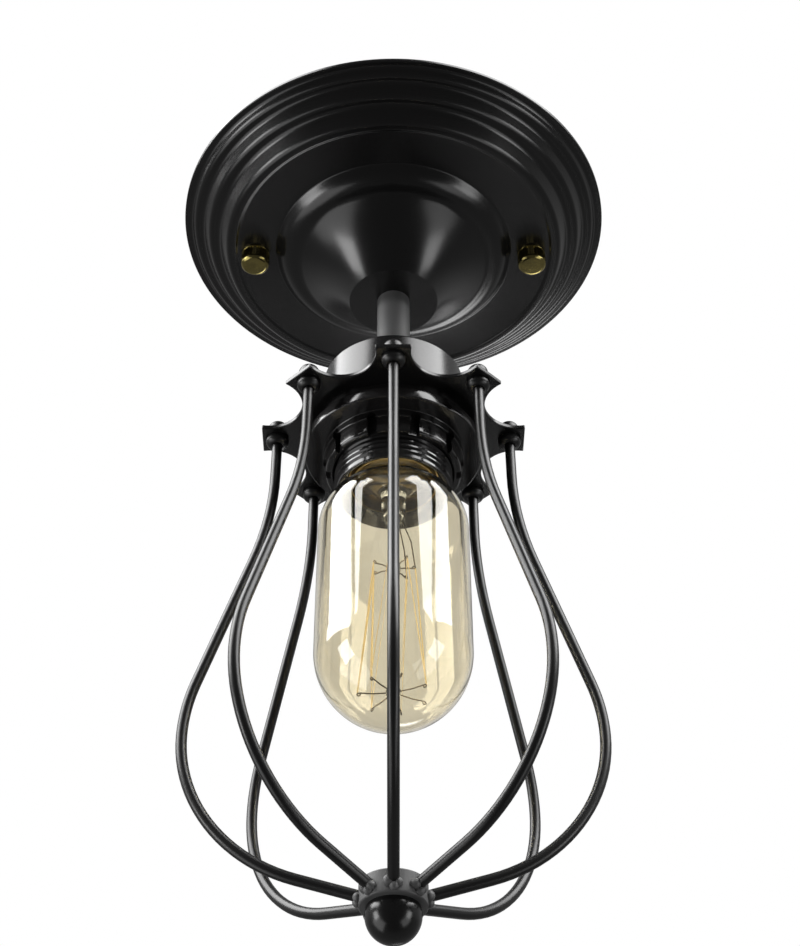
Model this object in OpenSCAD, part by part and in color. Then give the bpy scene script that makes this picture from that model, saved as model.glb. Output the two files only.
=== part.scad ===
// Cage wall light. A stepped canopy hides a mounting strap, a short stem carries a steel cup
// and a lampholder, and a threaded ring clamps an eight-wire cage round a tubular lamp.
// Millimetres. The wall is the plane Y = 0, the light stands out along -Y and +Z is up.
// Modules draw with their local Z as the distance from the wall, and from_wall() turns it.

/* [Canopy] */
// Diameter of the canopy at the wall
canopy_d = 145; // [140:1:155]
// Thickness of the pressed steel canopy
canopy_wall = 0.9; // [0.7:0.1:1.1]
// Height of the straight rim at the wall
rim_h = 1.2; // [0.9:0.1:1.5]
// Width of the flat brim inside the rim
brim_w = 2.4; // [1.8:0.1:3]
// Slope of the risers between the rounded steps, in degrees
riser_angle = 60; // [55:1:65]
// Rise of the first rounded step
step_1_h = 2.6; // [2.3:0.1:3]
// Tread of the first rounded step
step_1_w = 2.7; // [2.5:0.1:3]
// Rise of the second rounded step
step_2_h = 4.3; // [3.8:0.1:4.8]
// Tread of the second rounded step
step_2_w = 3.2; // [2.9:0.1:3.5]
// Rise of the third rounded step
step_3_h = 5.5; // [5:0.1:6]
// Tread of the third rounded step
step_3_w = 3.4; // [3.1:0.1:3.8]
// Rise of the crease over the rounded shoulder
shoulder_dip = 0.6; // [0.4:0.1:1]
// Drop from the last step to the flat field that the cap nuts press on
field_drop = 0.4; // [0.3:0.1:0.5]
// Diameter of the neck's foot on the flat field
neck_foot_d = 80.4; // [79:0.2:81]
// Height of the rounded shoulder round the neck
shoulder_h = 5.1; // [4.6:0.1:5.6]
// Width of the slope from the neck's foot up to its rounded shoulder
shoulder_w = 3.2; // [2.4:0.1:3.8]
// Diameter of the crease between the shoulder and the neck
crease_d = 64.4; // [62:0.2:66]
// Height of the neck above the crease
neck_h = 18.8; // [17:0.2:21]
// Diameter of the flat top of the neck
neck_top_d = 29.5; // [27:0.5:32]
// Radius of the neck's hollow flare
neck_flare_r = 57; // [50:1:80]

/* [Mounting strap] */
// Distance of a stud from the outer edge of the canopy's flat field
stud_inset = 6.2; // [5.8:0.1:7]
// Width of the strap
strap_w = 20; // [18:0.5:23]
// Thickness of the strap
strap_t = 1.5; // [1.2:0.1:2]
// Distance from a stud to the strap's end
strap_margin = 6.5; // [6:0.5:7.5]
// Distance between the two wall-screw slots
wall_slot_spacing = 60; // [56:1:62]
// Width of a wall-screw slot
wall_slot_w = 4.5; // [4:0.1:5.2]
// Length of a wall-screw slot, end to end
wall_slot_l = 12; // [9:0.5:13]
// Diameter of the cable hole in the middle of the strap
cable_hole_d = 12; // [10:0.5:13]
// Distance of the earth screw from the middle of the strap
earth_screw_x = 13.5; // [13:0.5:15]
// Diameter of the earth screw's thread
earth_screw_d = 4; // [3.5:0.1:4.2]
// Diameter of the studs that hold the canopy
stud_d = 4; // [3.6:0.1:4.2]
// Diameter of the studs' pan heads
stud_head_d = 7.2; // [6.5:0.1:8]
// Height of the studs' pan heads
stud_head_h = 2.4; // [2:0.1:2.8]
// Width across the flats of the studs' lock nuts
stud_nut_af = 7; // [6.5:0.1:8]
// Thickness of the studs' lock nuts
stud_nut_h = 2.4; // [2:0.1:3.2]

/* [Cap nuts] */
// Diameter of a knurled cap nut
cap_nut_d = 9.6; // [9:0.1:10]
// Height of a knurled cap nut
cap_nut_h = 6.2; // [5.6:0.1:7]
// Number of teeth in the knurl
knurl_teeth = 30; // [24:1:36]
// Depth of the knurl
knurl_depth = 0.3; // [0.2:0.05:0.4]
// Thickness of the closed face of a cap nut
cap_nut_face = 1.5; // [1.2:0.1:2]

/* [Stem and cup] */
// Diameter of the stem between canopy and cup
stem_d = 10.8; // [10.4:0.1:12]
// Length of the stem between canopy and cup
stem_len = 37.6; // [30:0.2:50]
// Diameter of the stem's threaded ends
stem_thread_d = 9.8; // [9.4:0.1:10]
// Diameter of the wire way through the stem
stem_bore_d = 7; // [6:0.1:7.4]
// Length of the threaded end inside the canopy
stem_tail = 9; // [7:0.5:12]
// Width across the flats of the stem's lock nut
lock_nut_af = 14; // [13:0.5:16]
// Thickness of the stem's lock nut
lock_nut_h = 3.5; // [3:0.1:4.5]
// Diameter of the toothed washers
washer_d = 17; // [16:0.5:18]
// Thickness of the toothed washers
washer_t = 0.8; // [0.6:0.1:1]
// Gap between the lampholder's body and the cup
cup_gap = 1.1; // [0.6:0.1:2]
// Depth of the socket cup
cup_len = 23.2; // [21:0.2:24]
// Thickness of the cup's steel
cup_wall = 0.9; // [0.7:0.1:1.1]
// Rounding of the cup's closed end
cup_corner_r = 1.3; // [1.2:0.1:2.5]

/* [Lampholder] */
// Step from the barrel's thread out to the lampholder's body
holder_step = 2.2; // [2:0.1:2.6]
// Wall of the lampholder's body
holder_wall = 2.2; // [1.8:0.1:2.4]
// Diameter of the threaded entry on the lampholder's dome
entry_d = 16; // [14.5:0.5:18]
// Height of the threaded entry on the lampholder's dome
entry_h = 3.2; // [2.5:0.1:4]
// Length of the dome that holds the terminals
dome_len = 13.6; // [13:0.2:15]
// Length of the barrel, from the dome to its mouth
barrel_len = 31.5; // [31:0.2:34]
// Length of the barrel's plain shoulder
barrel_shoulder = 4.5; // [4:0.1:5]
// Wall of the barrel at its mouth, over the thread
barrel_wall = 1.7; // [1.5:0.1:2.2]
// Depth of the barrel's thread
barrel_thread_depth = 0.7; // [0.5:0.05:0.8]
// Pitch of the barrel's thread
barrel_pitch = 2; // [1.8:0.1:2.4]
// Radial step from the screw shell out to the barrel's mouth
mouth_step = 2.45; // [2:0.05:3]
// Thickness of the terminal insert
insert_t = 8; // [7.4:0.1:8.4]
// Diameter of the well for the centre contact
well_d = 16; // [15:0.5:17]
// Thickness of the screw shell
shell_wall = 0.4; // [0.3:0.05:0.5]
// Length of the screw shell
shell_len = 22; // [20:0.2:23]
// Thickness of the centre contact's spring strip
contact_t = 0.5; // [0.4:0.05:0.6]
// Width of the centre contact's spring strip
contact_w = 5; // [4:0.2:6]
// Distance between the terminal screws
terminal_spacing = 23; // [22:0.2:24]
// Diameter of a terminal screw's head
terminal_head_d = 5; // [4.6:0.1:5.4]
// Diameter of a terminal screw's thread
terminal_d = 3; // [2.6:0.1:3.2]
// Diameter of the insulated lead wires
lead_d = 2; // [1.6:0.1:2.2]
// Distance between the two leads in the stem
lead_spacing = 2.8; // [2.5:0.1:3]

/* [Shade ring] */
// Width of the ring's flange beyond the barrel's thread
flange_w = 9.3; // [8.4:0.1:10.4]
// Thickness of the ring's flange
flange_t = 4.2; // [3.4:0.1:5]
// Step from the flange's edge in to the ring's seat on the cage plate
ring_seat_step = 2.1; // [1.4:0.1:2.6]
// Height of the ring's seat
ring_seat_h = 2.8; // [2.2:0.1:3.4]
// Wall of the notched collar over the barrel's thread
collar_wall = 2.8; // [2.5:0.1:3.2]
// Height of the notched collar above the flange
collar_h = 7.7; // [7:0.1:8.4]
// Width of the low step round the collar
collar_step_w = 0.9; // [0.7:0.1:1.3]
// Height of the low step round the collar
collar_step_h = 2.6; // [2:0.1:3]
// Number of grip notches in the collar
notch_count = 10; // [8:1:12]
// Width of a grip notch
notch_w = 3; // [2.4:0.1:3.4]
// Depth of a grip notch into the collar's wall
notch_depth = 1.6; // [1.2:0.1:1.8]

/* [Cage plate] */
// Distance from a wire's centre to the end of its lobe
lobe_reach = 4.6; // [4:0.1:5.6]
// Thickness of the plate
plate_t = 1.5; // [1.2:0.1:2]
// Diameter of the circle of wires
wire_circle_d = 72.2; // [70:0.2:78]
// Width of a lobe where it leaves the plate
lobe_w = 10.4; // [9.6:0.1:11.4]
// Distance from the circle of wires out to the scallops' centres
scallop_out = 5.7; // [5:0.1:6.6]

/* [Cage wires] */
// Diameter of the cage wire
wire_d = 3.1; // [2.8:0.1:3.4]
// Radius of the belly, at the wire's centre line
belly_r = 57.2; // [54:0.2:62]
// Distance from the plate to the widest point of the belly
belly_out = 107.6; // [100:0.2:116]
// Slope of the flaring run, in degrees
flare_angle = 17.5; // [15:0.5:19]
// Radius of the bend from the plate into the flare
flare_bend_r = 110; // [80:5:130]
// Radius of the bend above the belly
upper_bend_r = 56; // [50:1:64]
// Radius of the bend below the belly
lower_bend_r = 44.5; // [42:0.5:46]
// Slope of the run into the hub, in degrees
tail_angle = 16; // [12:0.5:20]
// Diameter of the collar on each wire
bead_d = 6.8; // [6:0.1:7.4]
// Height of the collar on each wire
bead_h = 2.6; // [2.2:0.1:3.2]
// Diameter of the rivet head behind the plate
rivet_d = 6.3; // [5.8:0.1:7]
// Height of the rivet head's round top
rivet_h = 2.9; // [2.4:0.1:3.1]
// Height of the straight side between the plate and the rivet head's round top
rivet_side_h = 2.2; // [1.6:0.1:2.8]

/* [Hub and finial] */
// Diameter of the hub
hub_d = 17.8; // [17:0.2:20]
// Length of the hub
hub_len = 6.5; // [6:0.1:8]
// Depth of the wire holes in the hub
hub_hole_depth = 3.2; // [2.5:0.1:3.6]
// Diameter of the finial ball
ball_d = 14.6; // [13:0.2:16]
// Distance of the ball's centre from the hub's face
ball_lift = 2.1; // [1.5:0.1:4]
// Diameter of the finial's threaded stud
finial_stud_d = 4; // [3.5:0.1:4.5]
// Length of the finial's threaded stud
finial_stud_len = 4.5; // [4:0.1:5.5]

/* [Lamp] */
// Diameter of the lamp's glass
lamp_d = 45; // [43:0.2:46]
// Length of the lamp from its contact to its tip
lamp_len = 110; // [105:0.5:116]
// Thickness of the lamp's glass
glass_wall = 0.7; // [0.5:0.1:0.9]
// Gap between the glass neck and the inside of the cap's rim
neck_gap = 0.35; // [0.2:0.05:0.6]
// Height of the glass shoulder between the cap's rim and the tube
glass_shoulder_h = 9.5; // [8.5:0.1:11]
// Rounding of the glass shoulder
glass_shoulder_bend = 16; // [13:0.5:18]
// Depth of the glass neck in the cap
neck_depth = 4.6; // [4:0.1:5]
// Depth of the hollow behind the glass mount
mount_hollow = 9; // [8:0.2:10]
// Height of the glass mount's stem above the cap's rim
mount_stem_h = 13; // [11:0.5:16]
// Outside diameter of the cap's thread
cap_thread_d = 26.3; // [26.1:0.05:26.3]
// Depth of the cap's thread
cap_thread_depth = 0.9; // [0.7:0.05:1]
// Pitch of the cap's thread
cap_pitch = 3.63; // [3.5:0.01:3.7]
// Length of the cap's metal shell
cap_len = 21.5; // [21:0.1:22]
// Thickness of the cap's metal
cap_wall = 0.3; // [0.25:0.05:0.35]
// Diameter of the centre contact on the cap
pip_d = 9; // [8.4:0.1:9.6]
// Height of the centre contact on the cap
pip_h = 1.7; // [1.5:0.1:2]
// Height of the glass insulator on the cap
insulator_h = 3; // [2.8:0.1:3.4]
// Distance from the lamp's tip to the lower wheel of hooks
lower_wheel_back = 9; // [7:0.5:12]
// Distance between the two wheels of hooks
wheel_spacing = 43; // [38:0.5:46]
// Diameter of the upper wheel of hooks
upper_wheel_d = 12; // [10:0.5:16]
// Diameter of the lower wheel of hooks
lower_wheel_d = 19; // [15:0.5:24]
// Number of hooks on each wheel
hook_count = 7; // [5:1:9]
// Diameter of the filament
filament_d = 0.4; // [0.3:0.05:0.6]

/* [Fits] */
// Radial clearance of the lamp's cap in the screw shell
shell_fit = 0.3; // [0.25:0.05:0.4]
// Radial clearance of a turning thread on its own thread
running_fit = 0.05; // [0.04:0.01:0.08]
// Radial clearance of a hole round a part that passes through it
hole_fit = 0.2; // [0.15:0.05:0.3]
// Radial clearance between fixed parts that seat in each other
seat_fit = 0.05; // [0.03:0.01:0.08]

/* [Hidden] */
$fn = 96;
arc_steps = 5;
joint_swell = 0.01;
joint_gap = 0.03;

// Distances from the wall, each built on the one before it
step_1_z = rim_h + step_1_h;
step_2_z = step_1_z + step_2_h;
step_3_z = step_2_z + step_3_h;
field_z = step_3_z - field_drop;
crease_z = field_z + shoulder_h;
canopy_z = crease_z + neck_h;
cup_z = canopy_z + stem_len;
plate_z = cup_z + cup_len;
ring_z = plate_z + plate_t;
flange_z = ring_z + ring_seat_h;
collar_z = flange_z + flange_t;
dome_z = cup_z + cup_wall + washer_t;
barrel_z = dome_z + dome_len;
mouth_z = barrel_z + barrel_len;
shell_z = barrel_z + barrel_shoulder;
insert_z = shell_z - insert_t;
stem_end_z = dome_z + entry_h + holder_wall;

// The strap stands on the wall, with ends raised to clear the stud heads
field_outer_r = canopy_d / 2 - brim_w - step_1_w - step_2_w - step_3_w
    - (step_1_h + step_2_h + step_3_h) / tan(riser_angle);
stud_x = field_outer_r - stud_inset;
strap_raise = stud_head_h + 1.4;
strap_end_x = stud_x + strap_margin;
strap_bend_x = stud_x - stud_head_d / 2 - 1;
cap_bore_z = field_z + cap_nut_h - cap_nut_face;
stud_end_z = cap_bore_z - 0.6;
wire_r = wire_d / 2;

// Radii of the lampholder and of what goes round it, each built on the lamp's cap
cap_r = cap_thread_d / 2;
shell_r = cap_r + shell_fit;
mouth_r = shell_r + shell_wall + mouth_step;
thread_r = mouth_r + barrel_wall;
holder_r = thread_r + holder_step;
insert_r = holder_r - holder_wall - 2 * seat_fit;
cup_r = holder_r + cup_gap + cup_wall;
collar_r = thread_r + collar_wall;
flange_r = thread_r + flange_w;
neck_r = cap_r - cap_wall - neck_gap;
lamp_r = lamp_d / 2;

// The wire's path, in the plane of the axis, from the plate to the hub
wire_circle_r = wire_circle_d / 2;
scallop_centre_r = wire_circle_r + scallop_out;
scallop_r = scallop_centre_r * sin(22.5) - lobe_w / 2;
belly_z = ring_z + belly_out;
flare_end = [belly_r - upper_bend_r * (1 - cos(flare_angle)),
             belly_z - upper_bend_r * sin(flare_angle)];
flare_start_r = wire_circle_r + flare_bend_r * (1 - cos(flare_angle));
flare_len = (flare_end.x - flare_start_r) / sin(flare_angle);
leg_end_z = flare_end.y - flare_len * cos(flare_angle) - flare_bend_r * sin(flare_angle);
lower_turn = 90 - tail_angle;
tail_start = [belly_r - lower_bend_r * (1 - cos(lower_turn)),
              belly_z + lower_bend_r * sin(lower_turn)];
tail_end_r = hub_d / 2 - hub_hole_depth;
tail_len = (tail_start.x - tail_end_r) / cos(tail_angle);
hub_mid_z = tail_start.y + (tail_start.x - hub_d / 2) * tan(tail_angle);
hub_z = hub_mid_z - hub_len / 2;
hub_face_z = hub_z + hub_len;

// The lamp stands on the centre contact
contact_z = shell_z - 2.2;
lamp_tip_z = contact_z + lamp_len;
insulator_z = contact_z + pip_h;
cap_z = insulator_z + insulator_h;
cap_rim_z = cap_z + cap_len;
lower_wheel_z = lamp_tip_z - lower_wheel_back;
upper_wheel_z = lower_wheel_z - wheel_spacing;
glass_z = cap_rim_z - neck_depth;
press_z = cap_rim_z + mount_stem_h;
rod_r = 1.3;
hook_d = 0.4;

steel_black = [0.05, 0.05, 0.055];
bakelite_black = [0.02, 0.02, 0.02];
zinc = [0.72, 0.72, 0.7];
antique_brass = [0.45, 0.38, 0.16];
brass = [0.8, 0.62, 0.28];
amber_glass = [0.93, 0.86, 0.6, 0.35];
steatite = [0.85, 0.83, 0.78];

// ---- outlines ----

function unit(v) = v / norm(v);
function flat(p) = [p.x, p.y];
function left_of(d) = [-d.y, d.x];

// Arc points that round the corner b of the path a-b-c with radius f
function fillet(a, b, c, f) = let(
    u = unit(a - b),
    w = unit(c - b),
    half = acos(u * w) / 2,
    o = b + unit(u + w) * f / sin(half),
    from = b + u * f / tan(half) - o,
    to = b + w * f / tan(half) - o,
    start = atan2(from.y, from.x),
    sweep = atan2(from.x * to.y - from.y * to.x, from * to)
) [for (i = [0:arc_steps]) o + f * [cos(start + sweep * i / arc_steps),
                                    sin(start + sweep * i / arc_steps)]];

// A path of [x, y, radius] corners as plain points, its corners rounded
function rounded(path) = [for (i = [0:len(path) - 1])
    each (path[i].z == 0 ? [flat(path[i])]
        : fillet(flat(path[i - 1]), flat(path[i]), flat(path[i + 1]), path[i].z))];

// The same path moved to its left by d, with its corner radii kept concentric
function inset(path, d) = [for (i = [0:len(path) - 1]) let(
    before = i == 0 ? undef : unit(flat(path[i]) - flat(path[i - 1])),
    after = i == len(path) - 1 ? undef : unit(flat(path[i + 1]) - flat(path[i])),
    n1 = left_of(i == 0 ? after : before),
    n2 = left_of(i == len(path) - 1 ? before : after),
    p = flat(path[i]) + (n1 + n2) * d / (1 + n1 * n2),
    turn = n1.x * n2.y - n1.y * n2.x
) [p.x, p.y, path[i].z == 0 ? 0 : max(path[i].z - sign(turn) * d, 0.1)]];

function backwards(list) = [for (i = [len(list) - 1:-1:0]) list[i]];

// A sheet of thickness t to the left of a path
function sheet(path, t) = concat(rounded(path), backwards(rounded(inset(path, t))));

// Trapezoid thread rings up a shaft: n rings of the given pitch from height z
function thread_rings(r, depth, pitch, z, n) = [for (i = [0:n - 1]) each [
    [r - depth, z + pitch * i],
    [r, z + pitch * (i + 0.3)],
    [r, z + pitch * (i + 0.6)],
    [r - depth, z + pitch * (i + 0.9)]]];

// Knuckle thread rings: a wave of the given pitch, eight points a turn
function knuckle_rings(r, depth, pitch, z, n) = [for (i = [0:8 * n])
    [r - depth / 2 * (1 + cos(45 * i)), z + pitch * i / 8]];

module from_wall() rotate([90, 0, 0]) children();

module at_both_studs() for (side = [-1, 1]) translate([side * stud_x, 0, 0]) children();

// ---- canopy ----

// Radius that rounds both ends of a tread of width w
function step_r(w) = 0.45 * w / tan(riser_angle / 2);

function neck_arc(from, to, r, n) = let(
    d = to - from,
    o = (from + to) / 2 + [d.y, -d.x] / norm(d) * sqrt(r * r - d * d / 4),
    a = atan2(from.y - o.y, from.x - o.x),
    b = atan2(to.y - o.y, to.x - o.x)
) [for (i = [1:n - 1]) [o.x + r * cos(a + (b - a) * i / n), o.y + r * sin(a + (b - a) * i / n), 0]];

function canopy_path() = let(
    rim_r = canopy_d / 2,
    cove_1 = rim_r - brim_w,
    nose_1 = cove_1 - step_1_h / tan(riser_angle),
    cove_2 = nose_1 - step_1_w,
    nose_2 = cove_2 - step_2_h / tan(riser_angle),
    cove_3 = nose_2 - step_2_w,
    nose_3 = cove_3 - step_3_h / tan(riser_angle),
    foot = neck_foot_d / 2,
    crease = [crease_d / 2, crease_z],
    top = [neck_top_d / 2, canopy_z]
) concat(
    [[rim_r, 0, 0], [rim_r, rim_h, 0.4],
     [cove_1, rim_h, step_r(brim_w)], [nose_1, step_1_z, step_r(step_1_w)],
     [cove_2, step_1_z, step_r(step_1_w)], [nose_2, step_2_z, step_r(step_2_w)],
     [cove_3, step_2_z, step_r(step_2_w)], [nose_3, step_3_z, step_r(step_3_w)],
     [field_outer_r + 0.6, step_3_z, 1], [field_outer_r, field_z, 1],
     [foot, field_z, 1], [foot - shoulder_w, crease_z - shoulder_dip, 3],
     [crease.x, crease.y, 0]],
    neck_arc(crease, top, neck_flare_r, 9),
    [[top.x, top.y, 0.4], [stem_thread_d / 2 + hole_fit, canopy_z, 0]]);

module canopy() color(steel_black) from_wall() difference() {
    rotate_extrude() polygon(sheet(canopy_path(), canopy_wall));
    at_both_studs() cylinder(d = stud_d + 2 * hole_fit, h = step_3_z);
}

// ---- strap, studs and cap nuts ----

function strap_path() = [
    [-strap_end_x, strap_raise, 0], [-strap_bend_x, strap_raise, 2],
    [strap_raise - strap_bend_x, 0, 3], [strap_bend_x - strap_raise, 0, 3],
    [strap_bend_x, strap_raise, 2], [strap_end_x, strap_raise, 0]];

module slot(l, w, h) {
    for (end = [-1, 1]) translate([end * (l - w) / 2, 0, 0]) cylinder(d = w, h = h);
    translate([(w - l) / 2, -w / 2, 0]) cube([l - w, w, h]);
}

module mounting_strap() color(zinc) from_wall() difference() {
    intersection() {
        rotate([90, 0, 0]) linear_extrude(strap_w, center = true)
            polygon(sheet(strap_path(), strap_t));
        slot(2 * strap_end_x, strap_w, strap_raise + strap_t);
    }
    for (side = [-1, 1]) translate([side * wall_slot_spacing / 2, 0, 0])
        slot(wall_slot_l, wall_slot_w, strap_t);
    cylinder(d = cable_hole_d, h = strap_t);
    translate([earth_screw_x, 0, 0]) cylinder(d = earth_screw_d + 2 * seat_fit, h = strap_t);
    at_both_studs() cylinder(d = stud_d + 2 * seat_fit, h = strap_raise + strap_t);
}

module pan_head(d, h, slot_w) difference() {
    intersection() {
        cylinder(d = d, h = h);
        translate([0, 0, d]) sphere(r = d);
    }
    translate([-d / 2, -slot_w / 2, 0]) cube([d, slot_w, h * 0.4]);
}

module canopy_studs() color(zinc) from_wall() at_both_studs() {
    translate([0, 0, strap_raise - stud_head_h]) pan_head(stud_head_d, stud_head_h, 1);
    translate([0, 0, strap_raise]) cylinder(d = stud_d, h = stud_end_z - strap_raise);
}

module hex_nut(af, h, bore_d) difference() {
    cylinder(d = af / cos(30), h = h, $fn = 6);
    cylinder(d = bore_d, h = h);
}

module stud_lock_nuts() color(zinc) from_wall() at_both_studs()
    translate([0, 0, strap_raise + strap_t])
        hex_nut(stud_nut_af, stud_nut_h, stud_d + 2 * seat_fit);

module earth_screw() color(antique_brass) from_wall() translate([earth_screw_x, 0, strap_t]) {
    translate([0, 0, 2.4]) mirror([0, 0, 1]) pan_head(2 * earth_screw_d, 2.4, 1);
    translate([0, 0, -strap_t]) cylinder(d = earth_screw_d, h = strap_t);
}

function cap_nut_path() = [
    [cap_nut_d / 2, 0, 0], [cap_nut_d / 2, cap_nut_h, 0.9], [0, cap_nut_h, 0]];

module cap_nut(x) from_wall() translate([x, 0, field_z]) difference() {
    rotate_extrude() polygon(concat([[0, 0]], rounded(cap_nut_path())));
    cylinder(d = stud_d + 2 * running_fit, h = cap_nut_h - cap_nut_face);
    for (i = [0:knurl_teeth - 1]) rotate(360 / knurl_teeth * i)
        translate([cap_nut_d / 2, 0, 0]) cylinder(r = knurl_depth, h = cap_nut_h - 1.2, $fn = 24);
}

module cap_nut_left() color(antique_brass) cap_nut(-stud_x);
module cap_nut_right() color(antique_brass) cap_nut(stud_x);

// ---- stem and cup ----

module stem_tube() color(steel_black) from_wall() difference() {
    union() {
        translate([0, 0, canopy_z - stem_tail])
            cylinder(d = stem_thread_d, h = stem_end_z - canopy_z + stem_tail);
        translate([0, 0, canopy_z]) cylinder(d = stem_d, h = stem_len);
    }
    translate([0, 0, canopy_z - stem_tail])
        cylinder(d = stem_bore_d, h = stem_end_z - canopy_z + stem_tail);
}

// A flat washer with teeth cut round its outer edge
module toothed_washer(z) translate([0, 0, z]) difference() {
    cylinder(d = washer_d, h = washer_t);
    cylinder(d = stem_thread_d + 2 * hole_fit, h = washer_t);
    for (i = [0:11]) rotate(30 * i) translate([washer_d / 2 - 1.6, -0.6, 0])
        cube([2.4, 1.2, washer_t]);
}

module canopy_washer() color(zinc) from_wall()
    toothed_washer(canopy_z - canopy_wall - washer_t);

module canopy_lock_nut() color(zinc) from_wall()
    translate([0, 0, canopy_z - canopy_wall - washer_t - lock_nut_h])
        hex_nut(lock_nut_af, lock_nut_h, stem_thread_d + 2 * seat_fit);

module socket_cup() color(steel_black) from_wall() rotate_extrude() polygon(sheet([
    [cup_r, plate_z, 0], [cup_r, cup_z, cup_corner_r],
    [stem_thread_d / 2 + hole_fit, cup_z, 0]], -cup_wall));

module cup_washer() color(zinc) from_wall() toothed_washer(cup_z + cup_wall);

// ---- lampholder ----

module lampholder_dome() color(bakelite_black) from_wall() rotate_extrude() polygon(sheet([
    [holder_r, barrel_z, 0], [holder_r, dome_z + entry_h, 3],
    [entry_d / 2, dome_z + entry_h, 0.5], [entry_d / 2, dome_z, 0],
    [stem_thread_d / 2 + seat_fit, dome_z, 0]], -holder_wall));

module lampholder_barrel() color(bakelite_black) from_wall() {
    rings = floor((barrel_len - barrel_shoulder - 1.2) / barrel_pitch);
    bore_r = shell_r + shell_wall + seat_fit;
    rotate_extrude() polygon(concat(
        [[holder_r, barrel_z], [holder_r, shell_z]],
        thread_rings(thread_r, barrel_thread_depth, barrel_pitch, shell_z, rings),
        [[thread_r - barrel_thread_depth, mouth_z],
         [mouth_r, mouth_z], [mouth_r - 0.8, mouth_z - 4],
         [bore_r, mouth_z - 4.4], [bore_r, shell_z],
         [insert_r + seat_fit, shell_z], [insert_r + seat_fit, barrel_z]]));
}

module terminal_insert() color(steatite) from_wall() difference() {
    translate([0, 0, insert_z]) cylinder(r = insert_r, h = insert_t);
    translate([0, 0, contact_z - 1.4]) cylinder(d = well_d, h = insert_t);
    for (side = [-1, 1]) translate([side * terminal_spacing / 2, 0, insert_z])
        cylinder(d = terminal_d + 2 * seat_fit, h = insert_t - 2);
}

module terminal_screws() color(brass) from_wall()
    for (side = [-1, 1]) translate([side * terminal_spacing / 2, 0, insert_z]) {
        cylinder(d = terminal_d, h = insert_t - 2.4);
        translate([0, 0, -2]) pan_head(terminal_head_d, 2, 0.8);
    }

// A spring strip that lies on the well's floor and rises under the lamp's contact
module centre_contact() color(brass) from_wall() {
    floor_z = contact_z - 1.4;
    reach = sqrt(pow(well_d / 2, 2) - pow(contact_w / 2, 2)) - 0.2;
    rotate([90, 0, 0]) linear_extrude(contact_w, center = true) polygon(sheet([
        [-reach, floor_z, 0], [-reach + 3, floor_z, 1],
        [-reach + 5, contact_z - contact_t, 1], [3, contact_z - contact_t, 0]], contact_t));
}

module screw_shell() color(brass) from_wall() rotate_extrude() polygon(sheet([
    [shell_r + shell_wall, shell_z + shell_len, 0],
    [shell_r + shell_wall, shell_z, 0.8],
    [shell_r - 1, shell_z, 0]], -shell_wall));

// Two leads run up the stem and bend out to the terminal screws
module lead_wires() color(bakelite_black) from_wall() {
    start_z = canopy_z - stem_tail - 10;
    bend_r = 2.5;
    turn = 75;
    out_r = lead_spacing / 2 + bend_r * (1 - cos(turn));
    rise = stem_end_z - 0.6 - start_z;
    reach = (terminal_spacing - terminal_head_d) / 2 - 0.6 - out_r;
    for (side = [0, 180]) rotate(side) translate([lead_spacing / 2, 0, start_z])
        run(lead_d / 2, rise) turn_out(lead_d / 2, bend_r, turn)
            cylinder(d = lead_d, h = reach / sin(turn));
}

// ---- shade ring ----

module shade_ring() color(bakelite_black) from_wall() {
    bore_r = thread_r + running_fit;
    step_r = collar_r + collar_step_w;
    end_z = collar_z + collar_h;
    difference() {
        rotate_extrude() polygon(concat([[bore_r, ring_z]], rounded([
            [flange_r - ring_seat_step, ring_z, 0], [flange_r - ring_seat_step, flange_z, 0],
            [flange_r, flange_z, 0.8], [flange_r, collar_z, 0.8],
            [step_r, collar_z, 0.5], [step_r, collar_z + collar_step_h, 0.3],
            [collar_r, collar_z + collar_step_h, 0], [collar_r, end_z, 0.6],
            [bore_r + 0.6, end_z, 0], [bore_r, end_z - 0.6, 0]])));
        for (i = [0:notch_count - 1]) rotate(360 / notch_count * i)
            translate([collar_r - notch_depth, 0, collar_z + collar_step_h + notch_w / 2]) {
                rotate([0, 90, 0]) cylinder(d = notch_w, h = 2 * notch_depth);
                translate([0, -notch_w / 2, 0]) cube([2 * notch_depth, notch_w, collar_h]);
            }
    }
}

// ---- cage ----

// Wires and leads are drawn as a chain of straight runs and bends. A ball a hair wider
// than the wire stands at each change and closes the small gap left at each bend's ends.
module joined(r) {
    sphere(r = r + joint_swell);
    children();
}

// A straight run, with what follows drawn from its end
module run(r, l) {
    cylinder(r = r, h = l);
    translate([0, 0, l]) joined(r) children();
}

// An arc of wire that starts along local +Z and curls towards local -X
module bend(r, bend_r, angle) {
    gap = 180 / PI * joint_gap / bend_r;
    translate([-bend_r, 0, 0]) rotate([90, 0, 0]) rotate(gap)
        rotate_extrude(angle = angle - 2 * gap) translate([bend_r, 0]) circle(r = r);
}

// A bend away from the axis, with what follows drawn from its end
module turn_out(r, bend_r, angle) {
    rotate(180) bend(r, bend_r, angle);
    translate([bend_r * (1 - cos(angle)), 0, bend_r * sin(angle)])
        rotate([0, angle, 0]) joined(r) children();
}

// A bend towards the axis, with what follows drawn from its end
module turn_in(r, bend_r, angle) {
    bend(r, bend_r, angle);
    translate([-bend_r * (1 - cos(angle)), 0, bend_r * sin(angle)])
        rotate([0, -angle, 0]) joined(r) children();
}

// A round head of the given base and height, standing on the plane z = 0
module dome(d, h) {
    r = (d * d / 4 + h * h) / (2 * h);
    intersection() {
        translate([0, 0, h - r]) sphere(r = r);
        cylinder(d = 2 * r, h = h);
    }
}

// Places its children at the wires, wire 1 at the top and the rest clockwise from it
module at_wire(k) rotate(135 - 45 * k) children();

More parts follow.
